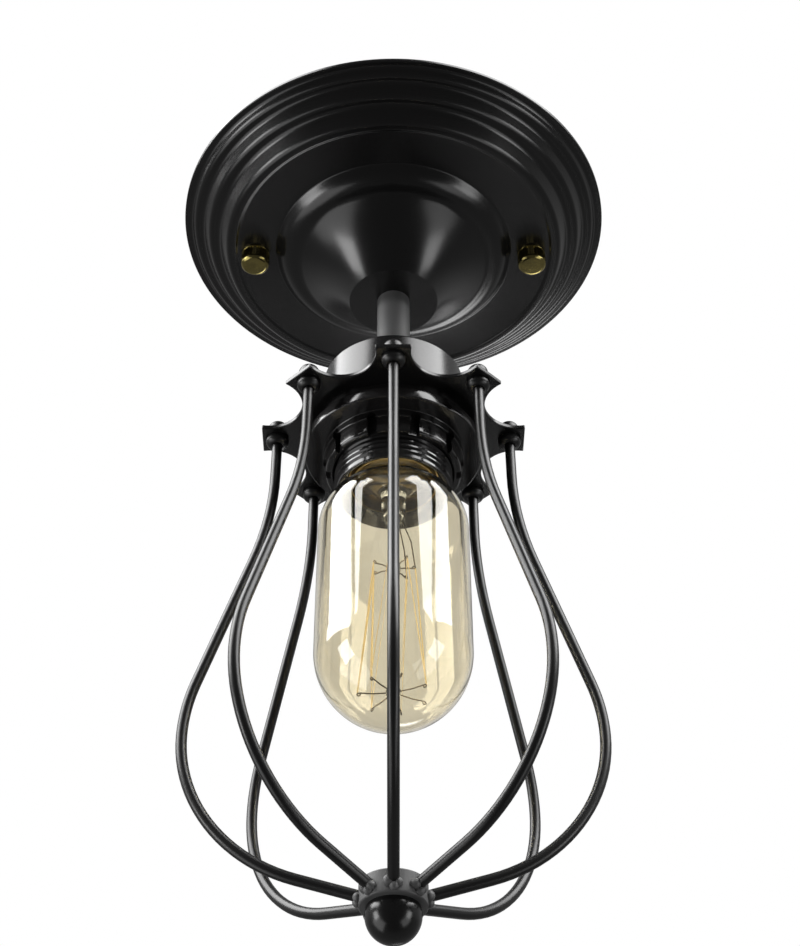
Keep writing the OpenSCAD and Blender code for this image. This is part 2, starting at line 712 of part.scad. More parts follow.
module cage_plate() color(steel_black) from_wall() translate([0, 0, plate_z])
    linear_extrude(plate_t) difference() {
        rotate(22.5) circle(r = (wire_circle_r + lobe_reach) / cos(22.5), $fn = 8);
        circle(r = thread_r + hole_fit);
        for (k = [1:8]) at_wire(k) {
            translate([wire_circle_r, 0]) circle(r = wire_r + seat_fit);
            rotate(22.5) translate([scallop_centre_r, 0]) circle(r = scallop_r);
        }
    }

// One wire: riveted behind the plate, collared in front of it, bent in to the hub
module cage_wire(k) color(steel_black) from_wall() at_wire(k) translate([wire_circle_r, 0, 0]) {
    translate([0, 0, plate_z]) mirror([0, 0, 1]) {
        cylinder(d = rivet_d, h = rivet_side_h);
        translate([0, 0, rivet_side_h]) dome(rivet_d, rivet_h);
    }
    translate([0, 0, ring_z]) rotate_extrude() polygon(rounded([
        [0, 0, 0], [bead_d / 2, 0, 0.8], [bead_d / 2, bead_h, 1.2], [0, bead_h, 0]]));
    translate([0, 0, plate_z]) run(wire_r, leg_end_z - plate_z)
        turn_out(wire_r, flare_bend_r, flare_angle) run(wire_r, flare_len)
        turn_in(wire_r, upper_bend_r, flare_angle)
        turn_in(wire_r, lower_bend_r, lower_turn)
        cylinder(r = wire_r, h = tail_len);
}

module cage_hub() color(steel_black) from_wall() difference() {
    translate([0, 0, hub_z]) rotate_extrude() polygon(rounded([
        [0, 0, 0], [hub_d / 2, 0, 0.5], [hub_d / 2, hub_len, 0.5], [0, hub_len, 0]]));
    for (k = [1:8]) at_wire(k) translate([hub_d / 2, 0, hub_mid_z]) rotate([0, -lower_turn, 0])
        translate([0, 0, -hub_hole_depth])
            cylinder(r = wire_r + seat_fit, h = 2 * hub_hole_depth + 3 * seat_fit);
    translate([0, 0, hub_face_z - finial_stud_len - seat_fit])
        cylinder(d = finial_stud_d + 2 * seat_fit, h = hub_len);
}

module finial_ball() color(steel_black) from_wall() translate([0, 0, hub_face_z]) {
    intersection() {
        translate([0, 0, ball_lift]) sphere(d = ball_d);
        cylinder(d = ball_d, h = ball_d);
    }
    translate([0, 0, -finial_stud_len]) cylinder(d = finial_stud_d, h = finial_stud_len);
}

// ---- lamp ----

module lamp_glass() color(amber_glass) from_wall() rotate_extrude() polygon(sheet([
    [neck_r, glass_z, 0], [neck_r, cap_rim_z + 1.3, 2.5],
    [lamp_r, cap_rim_z + glass_shoulder_h, glass_shoulder_bend],
    [lamp_r, lamp_tip_z, lamp_r - 0.2], [0, lamp_tip_z, 0]], glass_wall));

cap_end_r = cap_r - cap_thread_depth - 1.3;

// Outline of the cap's shell, from its closed end to its rim
function cap_path() = let(
    turns = floor((cap_len - 6.5) / cap_pitch),
    top_z = cap_rim_z - neck_depth - 1
) concat(
    [[cap_end_r, cap_z]],
    knuckle_rings(cap_r, cap_thread_depth, cap_pitch, top_z - turns * cap_pitch, turns),
    [[cap_r, top_z + 0.7], [cap_r, cap_rim_z]]);

module lamp_cap() color(brass) from_wall() rotate_extrude() polygon(concat(
    cap_path(), backwards([for (p = cap_path()) [p.x - cap_wall, p.y]])));

module lamp_insulator() color(bakelite_black) from_wall() rotate_extrude() polygon([
    [0, insulator_z], [pip_d / 2, insulator_z],
    [cap_end_r - cap_wall, cap_z], [0, cap_z]]);

module lamp_pip() color(zinc) from_wall() translate([0, 0, insulator_z]) mirror([0, 0, 1])
    dome(pip_d, pip_h);

// The glass flare, press and rod that carry the hooks
module lamp_mount() color(amber_glass) from_wall() {
    rim_r = neck_r - glass_wall - seat_fit;
    z = glass_z + 0.3;
    floor_z = z + mount_hollow;
    rotate_extrude() polygon([
        [0, floor_z], [2.6, floor_z - 1], [rim_r - 1, z], [rim_r, z], [3.9, floor_z - 1.5],
        [3.4, press_z], [rod_r, press_z + 1.5],
        [rod_r, upper_wheel_z - 1.6], [rod_r + 0.8, upper_wheel_z - 0.6],
        [rod_r + 0.8, upper_wheel_z + 0.6], [rod_r, upper_wheel_z + 1.6],
        [rod_r, lower_wheel_z - 1.6], [rod_r + 0.8, lower_wheel_z - 0.6],
        [rod_r + 0.8, lower_wheel_z + 0.6], [rod_r * 0.7, lower_wheel_z + 1.6],
        [0, lower_wheel_z + 1.8]]);
}

// A straight bar between two points
module bar(a, b, d) translate(a)
    rotate([0, acos((b - a).z / norm(b - a)), atan2((b - a).y, (b - a).x)])
        cylinder(d = d, h = norm(b - a), $fn = 24);

// The point i steps round the upper or lower wheel of hooks, at radius r
function on_wheel(i, r, z) = [r * cos(360 / hook_count * i), r * sin(360 / hook_count * i), z];

module lamp_supports() color(zinc) from_wall() for (i = [0:hook_count - 1]) {
    bar(on_wheel(i, rod_r + 0.8, upper_wheel_z),
        on_wheel(i, upper_wheel_d / 2, upper_wheel_z), hook_d);
    bar(on_wheel(i + 0.5, rod_r + 0.8, lower_wheel_z),
        on_wheel(i + 0.5, lower_wheel_d / 2, lower_wheel_z), hook_d);
}

// The filament's corners, in turn round the upper and the lower hooks
function filament_path() = let(clear = (hook_d + filament_d) / 2) [
    for (i = [0:2 * hook_count - 2]) i % 2 == 0
        ? on_wheel(i / 2, upper_wheel_d / 2 + clear, upper_wheel_z)
        : on_wheel(i / 2, lower_wheel_d / 2 + clear, lower_wheel_z)];

module lamp_filament() color([1, 0.85, 0.5]) from_wall() {
    points = filament_path();
    for (i = [0:len(points) - 2]) bar(points[i], points[i + 1], filament_d);
    for (p = points) translate(p) sphere(d = filament_d + 2 * joint_swell, $fn = 24);
}

// Two leads stand in the press and reach the filament's ends, and one goes to the contact
module lamp_leads() color(zinc) from_wall() {
    points = filament_path();
    ends = [points[0], points[len(points) - 1]];
    for (p = ends) {
        foot = 2.6 * unit(flat(p));
        bar([foot.x, foot.y, press_z + 0.7], p - [0, 0, filament_d], hook_d);
    }
    translate([0, 0, cap_z]) cylinder(d = hook_d, h = glass_z + mount_hollow - cap_z);
}

canopy();
mounting_strap();
canopy_studs();
stud_lock_nuts();
earth_screw();
cap_nut_left();
cap_nut_right();
stem_tube();
canopy_washer();
canopy_lock_nut();
socket_cup();
cup_washer();
lampholder_dome();
lampholder_barrel();
terminal_insert();
terminal_screws();
centre_contact();
screw_shell();
lead_wires();
shade_ring();
cage_plate();
cage_wire(1);  // cage_wire_1
cage_wire(2);  // cage_wire_2
cage_wire(3);  // cage_wire_3
cage_wire(4);  // cage_wire_4
cage_wire(5);  // cage_wire_5
cage_wire(6);  // cage_wire_6
cage_wire(7);  // cage_wire_7
cage_wire(8);  // cage_wire_8
cage_hub();
finial_ball();
lamp_glass();
lamp_cap();
lamp_insulator();
lamp_pip();
lamp_mount();
lamp_supports();
lamp_leads();
lamp_filament();
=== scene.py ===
"""Cage wall light: the finishes, the finely modelled pieces and the studio.

The scene is in metres in the light's own frame, and the sizes of the pieces are in mm. The wall
is the plane Y = 0, the light stands out along -Y and +Z is up. The classes follow the light's
sub-assemblies, from the wall outwards.
"""

import logging
import math
from dataclasses import dataclass
from enum import Enum
from typing import Optional, Sequence, Union

import bpy
from mathutils import Matrix, Vector

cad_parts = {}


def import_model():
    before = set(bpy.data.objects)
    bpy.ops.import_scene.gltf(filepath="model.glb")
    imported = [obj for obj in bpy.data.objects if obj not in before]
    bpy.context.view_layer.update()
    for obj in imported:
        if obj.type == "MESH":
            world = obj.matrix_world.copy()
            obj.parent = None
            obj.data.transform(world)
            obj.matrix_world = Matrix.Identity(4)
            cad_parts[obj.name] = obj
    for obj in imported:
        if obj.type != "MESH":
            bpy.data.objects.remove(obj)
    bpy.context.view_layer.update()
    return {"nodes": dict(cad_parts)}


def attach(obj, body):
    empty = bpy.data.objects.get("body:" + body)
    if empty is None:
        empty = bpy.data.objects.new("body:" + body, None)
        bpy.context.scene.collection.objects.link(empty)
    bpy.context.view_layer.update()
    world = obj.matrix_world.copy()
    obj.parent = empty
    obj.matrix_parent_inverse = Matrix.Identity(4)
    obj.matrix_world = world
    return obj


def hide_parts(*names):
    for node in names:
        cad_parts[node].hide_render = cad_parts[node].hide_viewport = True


LOG = logging.getLogger("cage_wall_light")
MM = 0.001
SHARP = 34.0  # degrees between two faces past which their edge stays sharp
ARC_STEP = 7.0  # degrees between two points of a rounding, at most
STUD_X = 47.44  # mm from the stem's axis to a stud's

Triple = tuple[float, float, float]
Value = Union[float, Triple, "Socket"]


class Side(Enum):
    """The two ends of the mounting strap, seen from the room."""

    LEFT = -1
    RIGHT = 1

    @property
    def stud(self) -> float:
        """The place of this end's stud along X, in mm."""
        return self.value * STUD_X


# ---- shader maths ----


class Socket:
    """An output socket that takes part in Python expressions."""

    def __init__(self, graph: "Graph", link: bpy.types.NodeSocket) -> None:
        """Wraps an output socket of a graph's node."""
        self.graph = graph
        self.link = link

    def __add__(self, other: Value) -> "Socket":
        """Sum of two values."""
        return self.graph.math("ADD", self, other)

    def __sub__(self, other: Value) -> "Socket":
        """Difference of two values."""
        return self.graph.math("SUBTRACT", self, other)

    def __rsub__(self, other: Value) -> "Socket":
        """Difference with the socket on the right, as in 1 - mask."""
        return self.graph.math("SUBTRACT", other, self)

    def __mul__(self, other: Value) -> "Socket":
        """Product of two values."""
        return self.graph.math("MULTIPLY", self, other)

    __radd__ = __add__
    __rmul__ = __mul__

    def ramped(self, low: float, high: float) -> "Socket":
        """The value's rise from 0 at low to 1 at high."""
        return self.graph.add("ShaderNodeMapRange", Value=self, From_Min=low, From_Max=high)


class Graph:
    """A material's node tree, with one method that adds any node."""

    def __init__(self, name: str) -> None:
        """Starts an empty node material of the given name."""
        self.material = bpy.data.materials.new(name)
        self.material.use_nodes = True
        self.tree = self.material.node_tree
        self.tree.nodes.clear()

    @classmethod
    def on(cls, tree: bpy.types.NodeTree) -> "Graph":
        """A graph on a tree that exists already, such as the world's, emptied first."""
        graph = cls.__new__(cls)
        graph.tree = tree
        tree.nodes.clear()
        return graph

    def add(self, kind: str, settings: Optional[dict] = None, output: Union[int, str] = 0,
            **inputs: Value) -> Socket:
        """Adds a node and returns one of its outputs.

        Args:
            kind: The node's type.
            settings: The node's own settings, set first. "stops" fills a colour ramp.
            output: The name or number of the output to return.
            inputs: Values or links by input name, with _ for a space, or by number, as n0.

        Returns:
            The chosen output socket.
        """
        node = self.tree.nodes.new(kind)
        for key, setting in (settings or {}).items():
            if key == "stops":
                self._fill_ramp(node.color_ramp, setting)
            else:
                setattr(node, key, setting)
        for key, value in inputs.items():
            name = key.replace("_", " ")
            target = node.inputs[int(key[1:]) if key[1:].isdigit() else name]
            self._feed(target, value)
        return Socket(self, node.outputs[output])

    def _fill_ramp(self, ramp: bpy.types.ColorRamp, stops: Sequence[tuple[float, Triple]]) -> None:
        """Gives a colour ramp its stops."""
        while len(ramp.elements) < len(stops):
            ramp.elements.new(1.0)
        for element, (place, colour) in zip(ramp.elements, stops):
            element.position = place
            element.color = (*colour, 1.0)

    def _feed(self, target: bpy.types.NodeSocket, value: Value) -> None:
        """Links or sets one input."""
        if isinstance(value, Socket):
            self.tree.links.new(value.link, target)
        elif isinstance(value, tuple) and target.type == "RGBA":
            target.default_value = (*value, 1.0)
        else:
            target.default_value = value

    def math(self, operation: str, first: Value, second: Value) -> Socket:
        """Adds a Math node on two values."""
        return self.add("ShaderNodeMath", {"operation": operation}, n0=first, n1=second)

    def place(self, scale: Triple = (1, 1, 1)) -> Socket:
        """Object coordinates in metres, scaled."""
        coords = self.add("ShaderNodeTexCoord", output="Object")
        return self.add("ShaderNodeVectorMath", {"operation": "MULTIPLY"}, n0=coords, n1=scale)

    def noise(self, place: Socket, size: float, detail: float = 2.0, rough: float = 0.5,
              warp: float = 0.0) -> Socket:
        """Noise whose spots are about the given size in metres."""
        return self.add("ShaderNodeTexNoise", Vector=place, Scale=1.0 / size, Detail=detail,
                        Roughness=rough, Distortion=warp)

    def mix(self, mask: Value, low: Value, high: Value) -> Socket:
        """A colour that goes from low to high with the mask."""
        return self.add("ShaderNodeMix", {"data_type": "RGBA"}, 2, n0=mask, n6=low, n7=high)

    def bump(self, height: Socket, depth: float, strength: float,
             over: Optional[Socket] = None) -> Socket:
        """A normal from a height of the given depth in metres, over an earlier normal."""
        earlier = {} if over is None else {"Normal": over}
        return self.add("ShaderNodeBump", Height=height, Distance=depth, Strength=strength,
                        **earlier)

    def end(self, shader: Socket, kind: str = "ShaderNodeOutputMaterial") -> None:
        """Ends the tree in an output node of the given type."""
        output = self.tree.nodes.new(kind)
        self.tree.links.new(shader.link, output.inputs["Surface"])

    def finish(self, **inputs: Value) -> bpy.types.Material:
        """Ends the material in a Principled shader with the given inputs."""
        self.end(self.add("ShaderNodeBsdfPrincipled", **inputs))
        return self.material


# ---- finishes ----


def shade(colour: Triple, factor: float) -> Triple:
    """A colour made lighter or darker by a factor."""
    return tuple(c * factor for c in colour)


@dataclass(frozen=True)
class PowderCoat:
    """Satin black powder coat: fine orange peel, faint cloudiness and a little dust."""

    colour: Triple = (0.005, 0.0049, 0.0049)
    roughness: float = 0.22
    peel: float = 0.00045
    depth: float = 0.000004

    def material(self, name: str) -> bpy.types.Material:
        """Builds the finish.

        Args:
            name: The material's name.

        Returns:
            The material.
        """
        g = Graph(name)
        place = g.place()
        grain = g.noise(place, self.peel)
        cloud = g.noise(place, 0.022, detail=3.0)
        dust = g.noise(place, 0.0011, rough=0.7).ramped(0.72, 0.80)
        dusty = tuple(c * 1.7 + 0.004 for c in self.colour)
        colour = g.mix(cloud, self.colour, shade(self.colour, 1.25))
        return g.finish(
            Base_Color=g.mix(dust * 0.5, colour, dusty),
            Roughness=cloud * 0.08 + grain * 0.08 + (self.roughness - 0.08),
            Normal=g.bump(grain, self.depth, 0.7),
        )


@dataclass(frozen=True)
class Bakelite:
    """Glossy black moulding: faint flow marks and a light haze."""

    colour: Triple = (0.007, 0.0066, 0.0066)
    roughness: float = 0.14

    def material(self, name: str) -> bpy.types.Material:
        """Builds the finish.

        Args:
            name: The material's name.

        Returns:
            The material.
        """
        g = Graph(name)
        place = g.place()
        flow = g.noise(place, 0.009, detail=4.0, rough=0.55, warp=1.6)
        haze = g.noise(place, 0.0035)
        grain = g.noise(place, 0.0006)
        return g.finish(
            Base_Color=g.mix(flow, self.colour, shade(self.colour, 1.9)),
            Roughness=haze * 0.12 + flow * 0.06 + (self.roughness - 0.08),
            Normal=g.bump(grain, 0.000008, 0.5, g.bump(flow, 0.00004, 0.4)),
            Coat_Weight=0.15,
        )


@dataclass(frozen=True)
class Plate:
    """Plated or bare metal with fine rolling lines and a slight tarnish."""

    colour: Triple = (0.58, 0.59, 0.60)
    tarnish: Triple = (0.42, 0.41, 0.38)
    roughness: float = 0.3
    grain: Triple = (1, 12, 12)

    def material(self, name: str) -> bpy.types.Material:
        """Builds the finish.

        Args:
            name: The material's name.

        Returns:
            The material.
        """
        g = Graph(name)
        lines = g.noise(g.place(self.grain), 0.004, detail=3.0)
        cloud = g.noise(g.place(), 0.006, detail=3.0, rough=0.6)
        return g.finish(
            Base_Color=g.mix(cloud.ramped(0.45, 0.75), self.colour, self.tarnish),
            Metallic=1.0,
            Roughness=lines * 0.14 + cloud * 0.12 + (self.roughness - 0.12),
            Normal=g.bump(lines, 0.00001, 0.5),
        )


@dataclass(frozen=True)
class Steatite:
    """Unglazed pressed ceramic with a grainy skin."""

    colour: Triple = (0.72, 0.68, 0.60)

    def material(self, name: str) -> bpy.types.Material:
        """Builds the finish.

        Args:
            name: The material's name.

        Returns:
            The material.
        """
        g = Graph(name)
        place = g.place()
        grain = g.noise(place, 0.0005, detail=3.0)
        cloud = g.noise(place, 0.006, detail=3.0)
        return g.finish(
            Base_Color=g.mix(cloud, self.colour, shade(self.colour, 0.86)),
            Roughness=grain * 0.1 + 0.6,
            Normal=g.bump(grain, 0.00004, 0.6),
        )


@dataclass(frozen=True)
class Insulation:
    """Soft plastic wire insulation with faint drawing marks."""

    colour: Triple = (0.03, 0.03, 0.032)

    def material(self, name: str) -> bpy.types.Material:
        """Builds the finish.

        Args:
            name: The material's name.

        Returns:
            The material.
        """
        g = Graph(name)
        marks = g.noise(g.place((8, 1, 8)), 0.003, detail=3.0)
        return g.finish(
            Base_Color=g.mix(marks, self.colour, shade(self.colour, 1.5)),
            Roughness=marks * 0.12 + 0.42,
            Normal=g.bump(marks, 0.00002, 0.5),
        )


@dataclass(frozen=True)
class Glass:
    """Blown glass with a faint tint and soft waves."""

    tint: Triple = (0.82, 0.78, 0.67)
    ior: float = 1.46

    def material(self, name: str) -> bpy.types.Material:
        """Builds the finish.

        Args:
            name: The material's name.

        Returns:
            The material.
        """
        g = Graph(name)
        waves = g.noise(g.place((1, 0.35, 1)), 0.012)
        smear = g.noise(g.place(), 0.008, detail=3.0)
        return g.finish(
            Base_Color=g.mix(smear, self.tint, tuple(c ** 1.3 for c in self.tint)),
            Transmission_Weight=1.0,
            Roughness=smear.ramped(0.5, 0.8) * 0.03,
            IOR=self.ior,
            Normal=g.bump(waves, 0.00012, 0.35),
        )


@dataclass(frozen=True)
class Glow:
    """A carbon filament: pale warm wire with a slight glow."""

    colour: Triple = (0.95, 0.74, 0.36)

    def material(self, name: str) -> bpy.types.Material:
        """Builds the finish.

        Args:
            name: The material's name.

        Returns:
            The material.
        """
        g = Graph(name)
        spots = g.noise(g.place(), 0.0012, detail=3.0)
        colour = g.mix(spots, self.colour, shade(self.colour, 0.8))
        return g.finish(
            Base_Color=colour,
            Roughness=spots * 0.2 + 0.4,
            Emission_Color=colour,
            Emission_Strength=0.35,
        )


# ---- outlines and the modelling bench ----


@dataclass(frozen=True)
class Corner:
    """A corner of an outline, in mm: radius from an axis, distance from the wall, rounding."""

    r: float
    out: float
    bend: float = 0.0

    def point(self) -> Vector:
        """The corner's place in the outline's plane."""
        return Vector((self.r, self.out))


def fillet(before: Vector, corner: Vector, after: Vector, radius: float,
           step: float) -> list[Vector]:
    """Rounds one corner of an outline.

    Args:
        before: The point before the corner.
        corner: The corner itself.
        after: The point after the corner.
        radius: The rounding's radius.
        step: The largest angle between two points of the arc, in degrees.

    Returns:
        The points of the arc that takes the corner's place.
    """
    back = (before - corner).normalized()
    ahead = (after - corner).normalized()
    half = back.angle(ahead) / 2
    centre = corner + (back + ahead).normalized() * (radius / math.sin(half))
    start = corner + back * (radius / math.tan(half)) - centre
    end = corner + ahead * (radius / math.tan(half)) - centre
    sweep = math.atan2(start.cross(end), start.dot(end))
    count = max(2, math.ceil(abs(math.degrees(sweep)) / step))
    turns = [Matrix.Rotation(sweep * i / count, 2) for i in range(count + 1)]
    return [centre + turn @ start for turn in turns]


def rounded(corners: Sequence[Corner], step: float = ARC_STEP) -> list[Vector]:
    """Turns corners into plain points, with an arc at each rounded corner.

    Args:
        corners: The outline's corners, in order.
        step: The largest angle between two points of an arc, in degrees.

    Returns:
        The outline's points.
    """
    points: list[Vector] = []
    for i, corner in enumerate(corners):
        if corner.bend:
            after = corners[(i + 1) % len(corners)]
            points += fillet(corners[i - 1].point(), corner.point(), after.point(), corner.bend,
                             step)
        else:
            points.append(corner.point())
    return points


def arc(centre: Vector, radius: float, start: float, end: float, count: int) -> list[Vector]:
    """Points along a circle's arc, from one angle to another in degrees."""
    angles = [math.radians(start + (end - start) * i / count) for i in range(count + 1)]
    return [centre + radius * Vector((math.cos(a), math.sin(a))) for a in angles]


def offset(points: Sequence[Vector], by: float) -> list[Vector]:
    """Moves an open outline to its left, as the second face of a sheet.

    Args:
        points: The outline's points, in order.
        by: The distance, or less than 0 to move it to its right.

    Returns:
        The moved points.
    """
    moved = []
    for i, point in enumerate(points):
        legs = [points[j + 1] - points[j] for j in (i - 1, i) if 0 <= j < len(points) - 1]
        sides = [Vector((-leg.y, leg.x)).normalized() for leg in legs]
        total = sum(sides, Vector((0, 0)))
        moved.append(point + total * (by * len(sides) / total.length_squared))
    return moved


def sheet(points: Sequence[Vector], thick: float) -> list[Vector]:
    """Closes an open outline into a sheet's cross-section."""
    return [*points, *reversed(offset(points, thick))]


class Bench:
    """The modelling bench: every mesh is started, shaped and finished here."""

    @staticmethod
    def clear() -> None:
        """Leaves edit mode and deselects everything."""
        if bpy.context.object and bpy.context.object.mode != "OBJECT":
            bpy.ops.object.mode_set(mode="OBJECT")
        bpy.ops.object.select_all(action="DESELECT")

    @classmethod
    def pick(cls, *pieces: bpy.types.Object) -> None:
        """Selects pieces alone, with the first one active."""
        cls.clear()
        for piece in pieces:
            piece.select_set(True)
        bpy.context.view_layer.objects.active = pieces[0]

    @staticmethod
    def open_mesh() -> None:
        """Enters edit mode with the whole mesh selected."""
        bpy.ops.object.mode_set(mode="EDIT")
        bpy.ops.mesh.select_all(action="SELECT")

    @staticmethod
    def name(name: str) -> bpy.types.Object:
        """Names the new object and its mesh."""
        piece = bpy.context.object
        piece.name = name
        piece.data.name = name
        return piece

    @classmethod
    def wire(cls, name: str, points: Sequence[Vector], closed: bool = False) -> bpy.types.Object:
        """Draws a chain of edges and stays in edit mode with all of it selected.

        Args:
            name: The piece's name.
            points: The chain's points in metres.
            closed: Whether the last point joins the first.

        Returns:
            The new object.
        """
        cls.clear()
        bpy.ops.mesh.primitive_plane_add(size=MM, location=(0, 0, 0))
        piece = cls.name(name)
        cls.open_mesh()
        bpy.ops.mesh.merge(type="CENTER")
        bpy.ops.transform.translate(value=points[0])
        chain = [*points, points[0]] if closed else list(points)
        for a, b in zip(chain, chain[1:]):
            bpy.ops.mesh.extrude_vertices_move(TRANSFORM_OT_translate={"value": b - a})
        bpy.ops.mesh.select_all(action="SELECT")
        bpy.ops.mesh.remove_doubles(threshold=1e-7)
        return piece

    @staticmethod
    def close_mesh(sharp: float = SHARP) -> None:
        """Merges doubles, turns the faces outwards, leaves edit mode and smooths the mesh."""
        bpy.ops.mesh.select_all(action="SELECT")
        bpy.ops.mesh.remove_doubles(threshold=1e-6)
        bpy.ops.mesh.normals_make_consistent(inside=False)
        bpy.ops.object.mode_set(mode="OBJECT")
        bpy.ops.object.shade_smooth_by_angle(angle=math.radians(sharp))

    @classmethod
    def lathe(cls, name: str, outline: Sequence[Vector], steps: int,
              axis: tuple[float, float] = (0.0, 0.0), sharp: float = SHARP,
              closed: bool = True) -> bpy.types.Object:
        """Spins an outline in mm round an axis that stands out from the wall.

        Args:
            name: The piece's name.
            outline: Points of radius and distance from the wall.
            steps: The number of steps round the circle.
            axis: The axis's place on the wall, in mm.
            sharp: The angle in degrees past which an edge stays sharp.
            closed: Whether the outline's last point joins its first.

        Returns:
            The finished piece.
        """
        x, z = axis
        points = [Vector(((x + p.x) * MM, -p.y * MM, z * MM)) for p in outline]
        piece = cls.wire(name, points, closed)
        bpy.ops.mesh.spin(steps=steps, angle=math.tau, center=(x * MM, 0, z * MM),
                          axis=(0, 1, 0), use_auto_merge=True)
        cls.close_mesh(sharp)
        return piece

    @classmethod
    def tube(cls, name: str, path: Sequence[Vector], radius: float,
             detail: int = 6) -> bpy.types.Object:
        """Draws a round wire along a path in mm.

        Args:
            name: The piece's name.
            path: The points of the wire's centre line.
            radius: The wire's radius.
            detail: The curve's bevel resolution.

        Returns:
            The finished piece.
        """
        cls.wire(name, [point * MM for point in path])
        bpy.ops.object.mode_set(mode="OBJECT")
        bpy.ops.object.convert(target="CURVE")
        curve = bpy.context.object.data
        curve.bevel_depth = radius * MM
        curve.bevel_resolution = detail
        curve.use_fill_caps = True
        bpy.ops.object.convert(target="MESH")
        piece = cls.name(name)
        bpy.ops.object.mode_set(mode="EDIT")
        cls.close_mesh(50.0)
        return piece

    @classmethod
    def prism(cls, name: str, outline: Sequence[Vector], rise: Vector) -> bpy.types.Object:
        """Fills a closed outline in mm and extrudes it.

        Args:
            name: The piece's name.
            outline: The outline's points, all in one plane.
            rise: The way from the outline to its other face.

        Returns:
            The finished piece.
        """
        piece = cls.wire(name, [point * MM for point in outline], True)
        bpy.ops.mesh.edge_face_add()
        bpy.ops.mesh.extrude_region_move(TRANSFORM_OT_translate={"value": rise * MM})
        cls.close_mesh()
        return piece

    @classmethod
    def peg(cls, radius: float, start: Vector, end: Vector, sides: int = 32) -> bpy.types.Object:
        """Makes a cylinder in mm, as a cutter.

        Args:
            radius: The cylinder's radius.
            start: The middle of one end.
            end: The middle of the other end.
            sides: The number of its sides.

        Returns:
            The cylinder.
        """
        cls.clear()
        bpy.ops.mesh.primitive_cylinder_add(
            vertices=sides, radius=radius * MM, depth=(end - start).length * MM,
            location=(start + end) * (MM / 2),
            rotation=(end - start).to_track_quat("Z", "Y").to_euler())
        return bpy.context.object

    @classmethod
    def apply(cls, piece: bpy.types.Object, kind: str, **settings) -> None:
        """Adds a modifier to a piece, sets it and applies it.

        Args:
            piece: The piece to change.
            kind: The modifier's type.
            settings: The modifier's own settings by name.
        """
        cls.pick(piece)
        modifier = piece.modifiers.new(kind.lower(), kind)
        for key, value in settings.items():
            setattr(modifier, key, value)
        bpy.ops.object.modifier_apply(modifier=modifier.name)

    @classmethod
    def smooth(cls, piece: bpy.types.Object, sharp: float = SHARP) -> None:
        """Shades a piece smooth except along edges sharper than an angle in degrees."""
        cls.pick(piece)
        bpy.ops.object.shade_smooth_by_angle(angle=math.radians(sharp))

    @classmethod
    def bevel(cls, piece: bpy.types.Object, width: float, sharp: float = SHARP) -> None:
        """Rounds the edges of a piece that are sharper than an angle in degrees."""
        cls.apply(piece, "BEVEL", width=width * MM, segments=3, limit_method="ANGLE",
                  angle_limit=math.radians(sharp), use_clamp_overlap=True)
        cls.smooth(piece, sharp)

    @classmethod
    def cut(cls, piece: bpy.types.Object, cutter: bpy.types.Object) -> None:
        """Cuts one piece out of another and throws the cutter away."""
        cls.apply(piece, "BOOLEAN", object=cutter, operation="DIFFERENCE", solver="EXACT")
        bpy.data.objects.remove(cutter)
        cls.smooth(piece)

    @classmethod
    def join(cls, pieces: Sequence[bpy.types.Object], name: str) -> bpy.types.Object:
        """Joins pieces into one object."""
        cls.pick(*pieces)
        bpy.ops.object.join()
        return cls.name(name)

    @staticmethod
    def array(piece: bpy.types.Object, count: int, name: str) -> list[bpy.types.Object]:
        """Copies a piece round the stem's axis, each copy with its own mesh.

        Args:
            piece: The first piece.
            count: The number of pieces with the first.
            name: The copies' name, with {} for the copy's number from 2.

        Returns:
            All the pieces, evenly round the axis, from the first.
        """
        pieces = [piece]
        for k in range(1, count):
            twin = piece.copy()
            twin.data = piece.data.copy()
            twin.data.transform(Matrix.Rotation(math.radians(360 / count * k), 4, "Y"))
            twin.name = twin.data.name = name.format(k + 1)
            bpy.context.scene.collection.objects.link(twin)
            pieces.append(twin)
        return pieces


def fit(piece: bpy.types.Object, material: bpy.types.Material, body: str, slot: str,
        *nodes: str) -> None:
    """Dresses a new piece, lets it ride on a body and hides the solid nodes that it stands for.

    Args:
        piece: The new piece.
        material: Its finish.
        body: The body that it rides on.
        slot: A name for the finish; not used.
        nodes: The solid nodes that it stands for.
    """
    piece.data.materials.clear()
    piece.data.materials.append(material)
    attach(piece, body)
    if nodes:
        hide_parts(*nodes)
    LOG.info("%s: %d faces, rides on %s", piece.name, len(piece.data.polygons), body)


# ---- canopy and cup ----


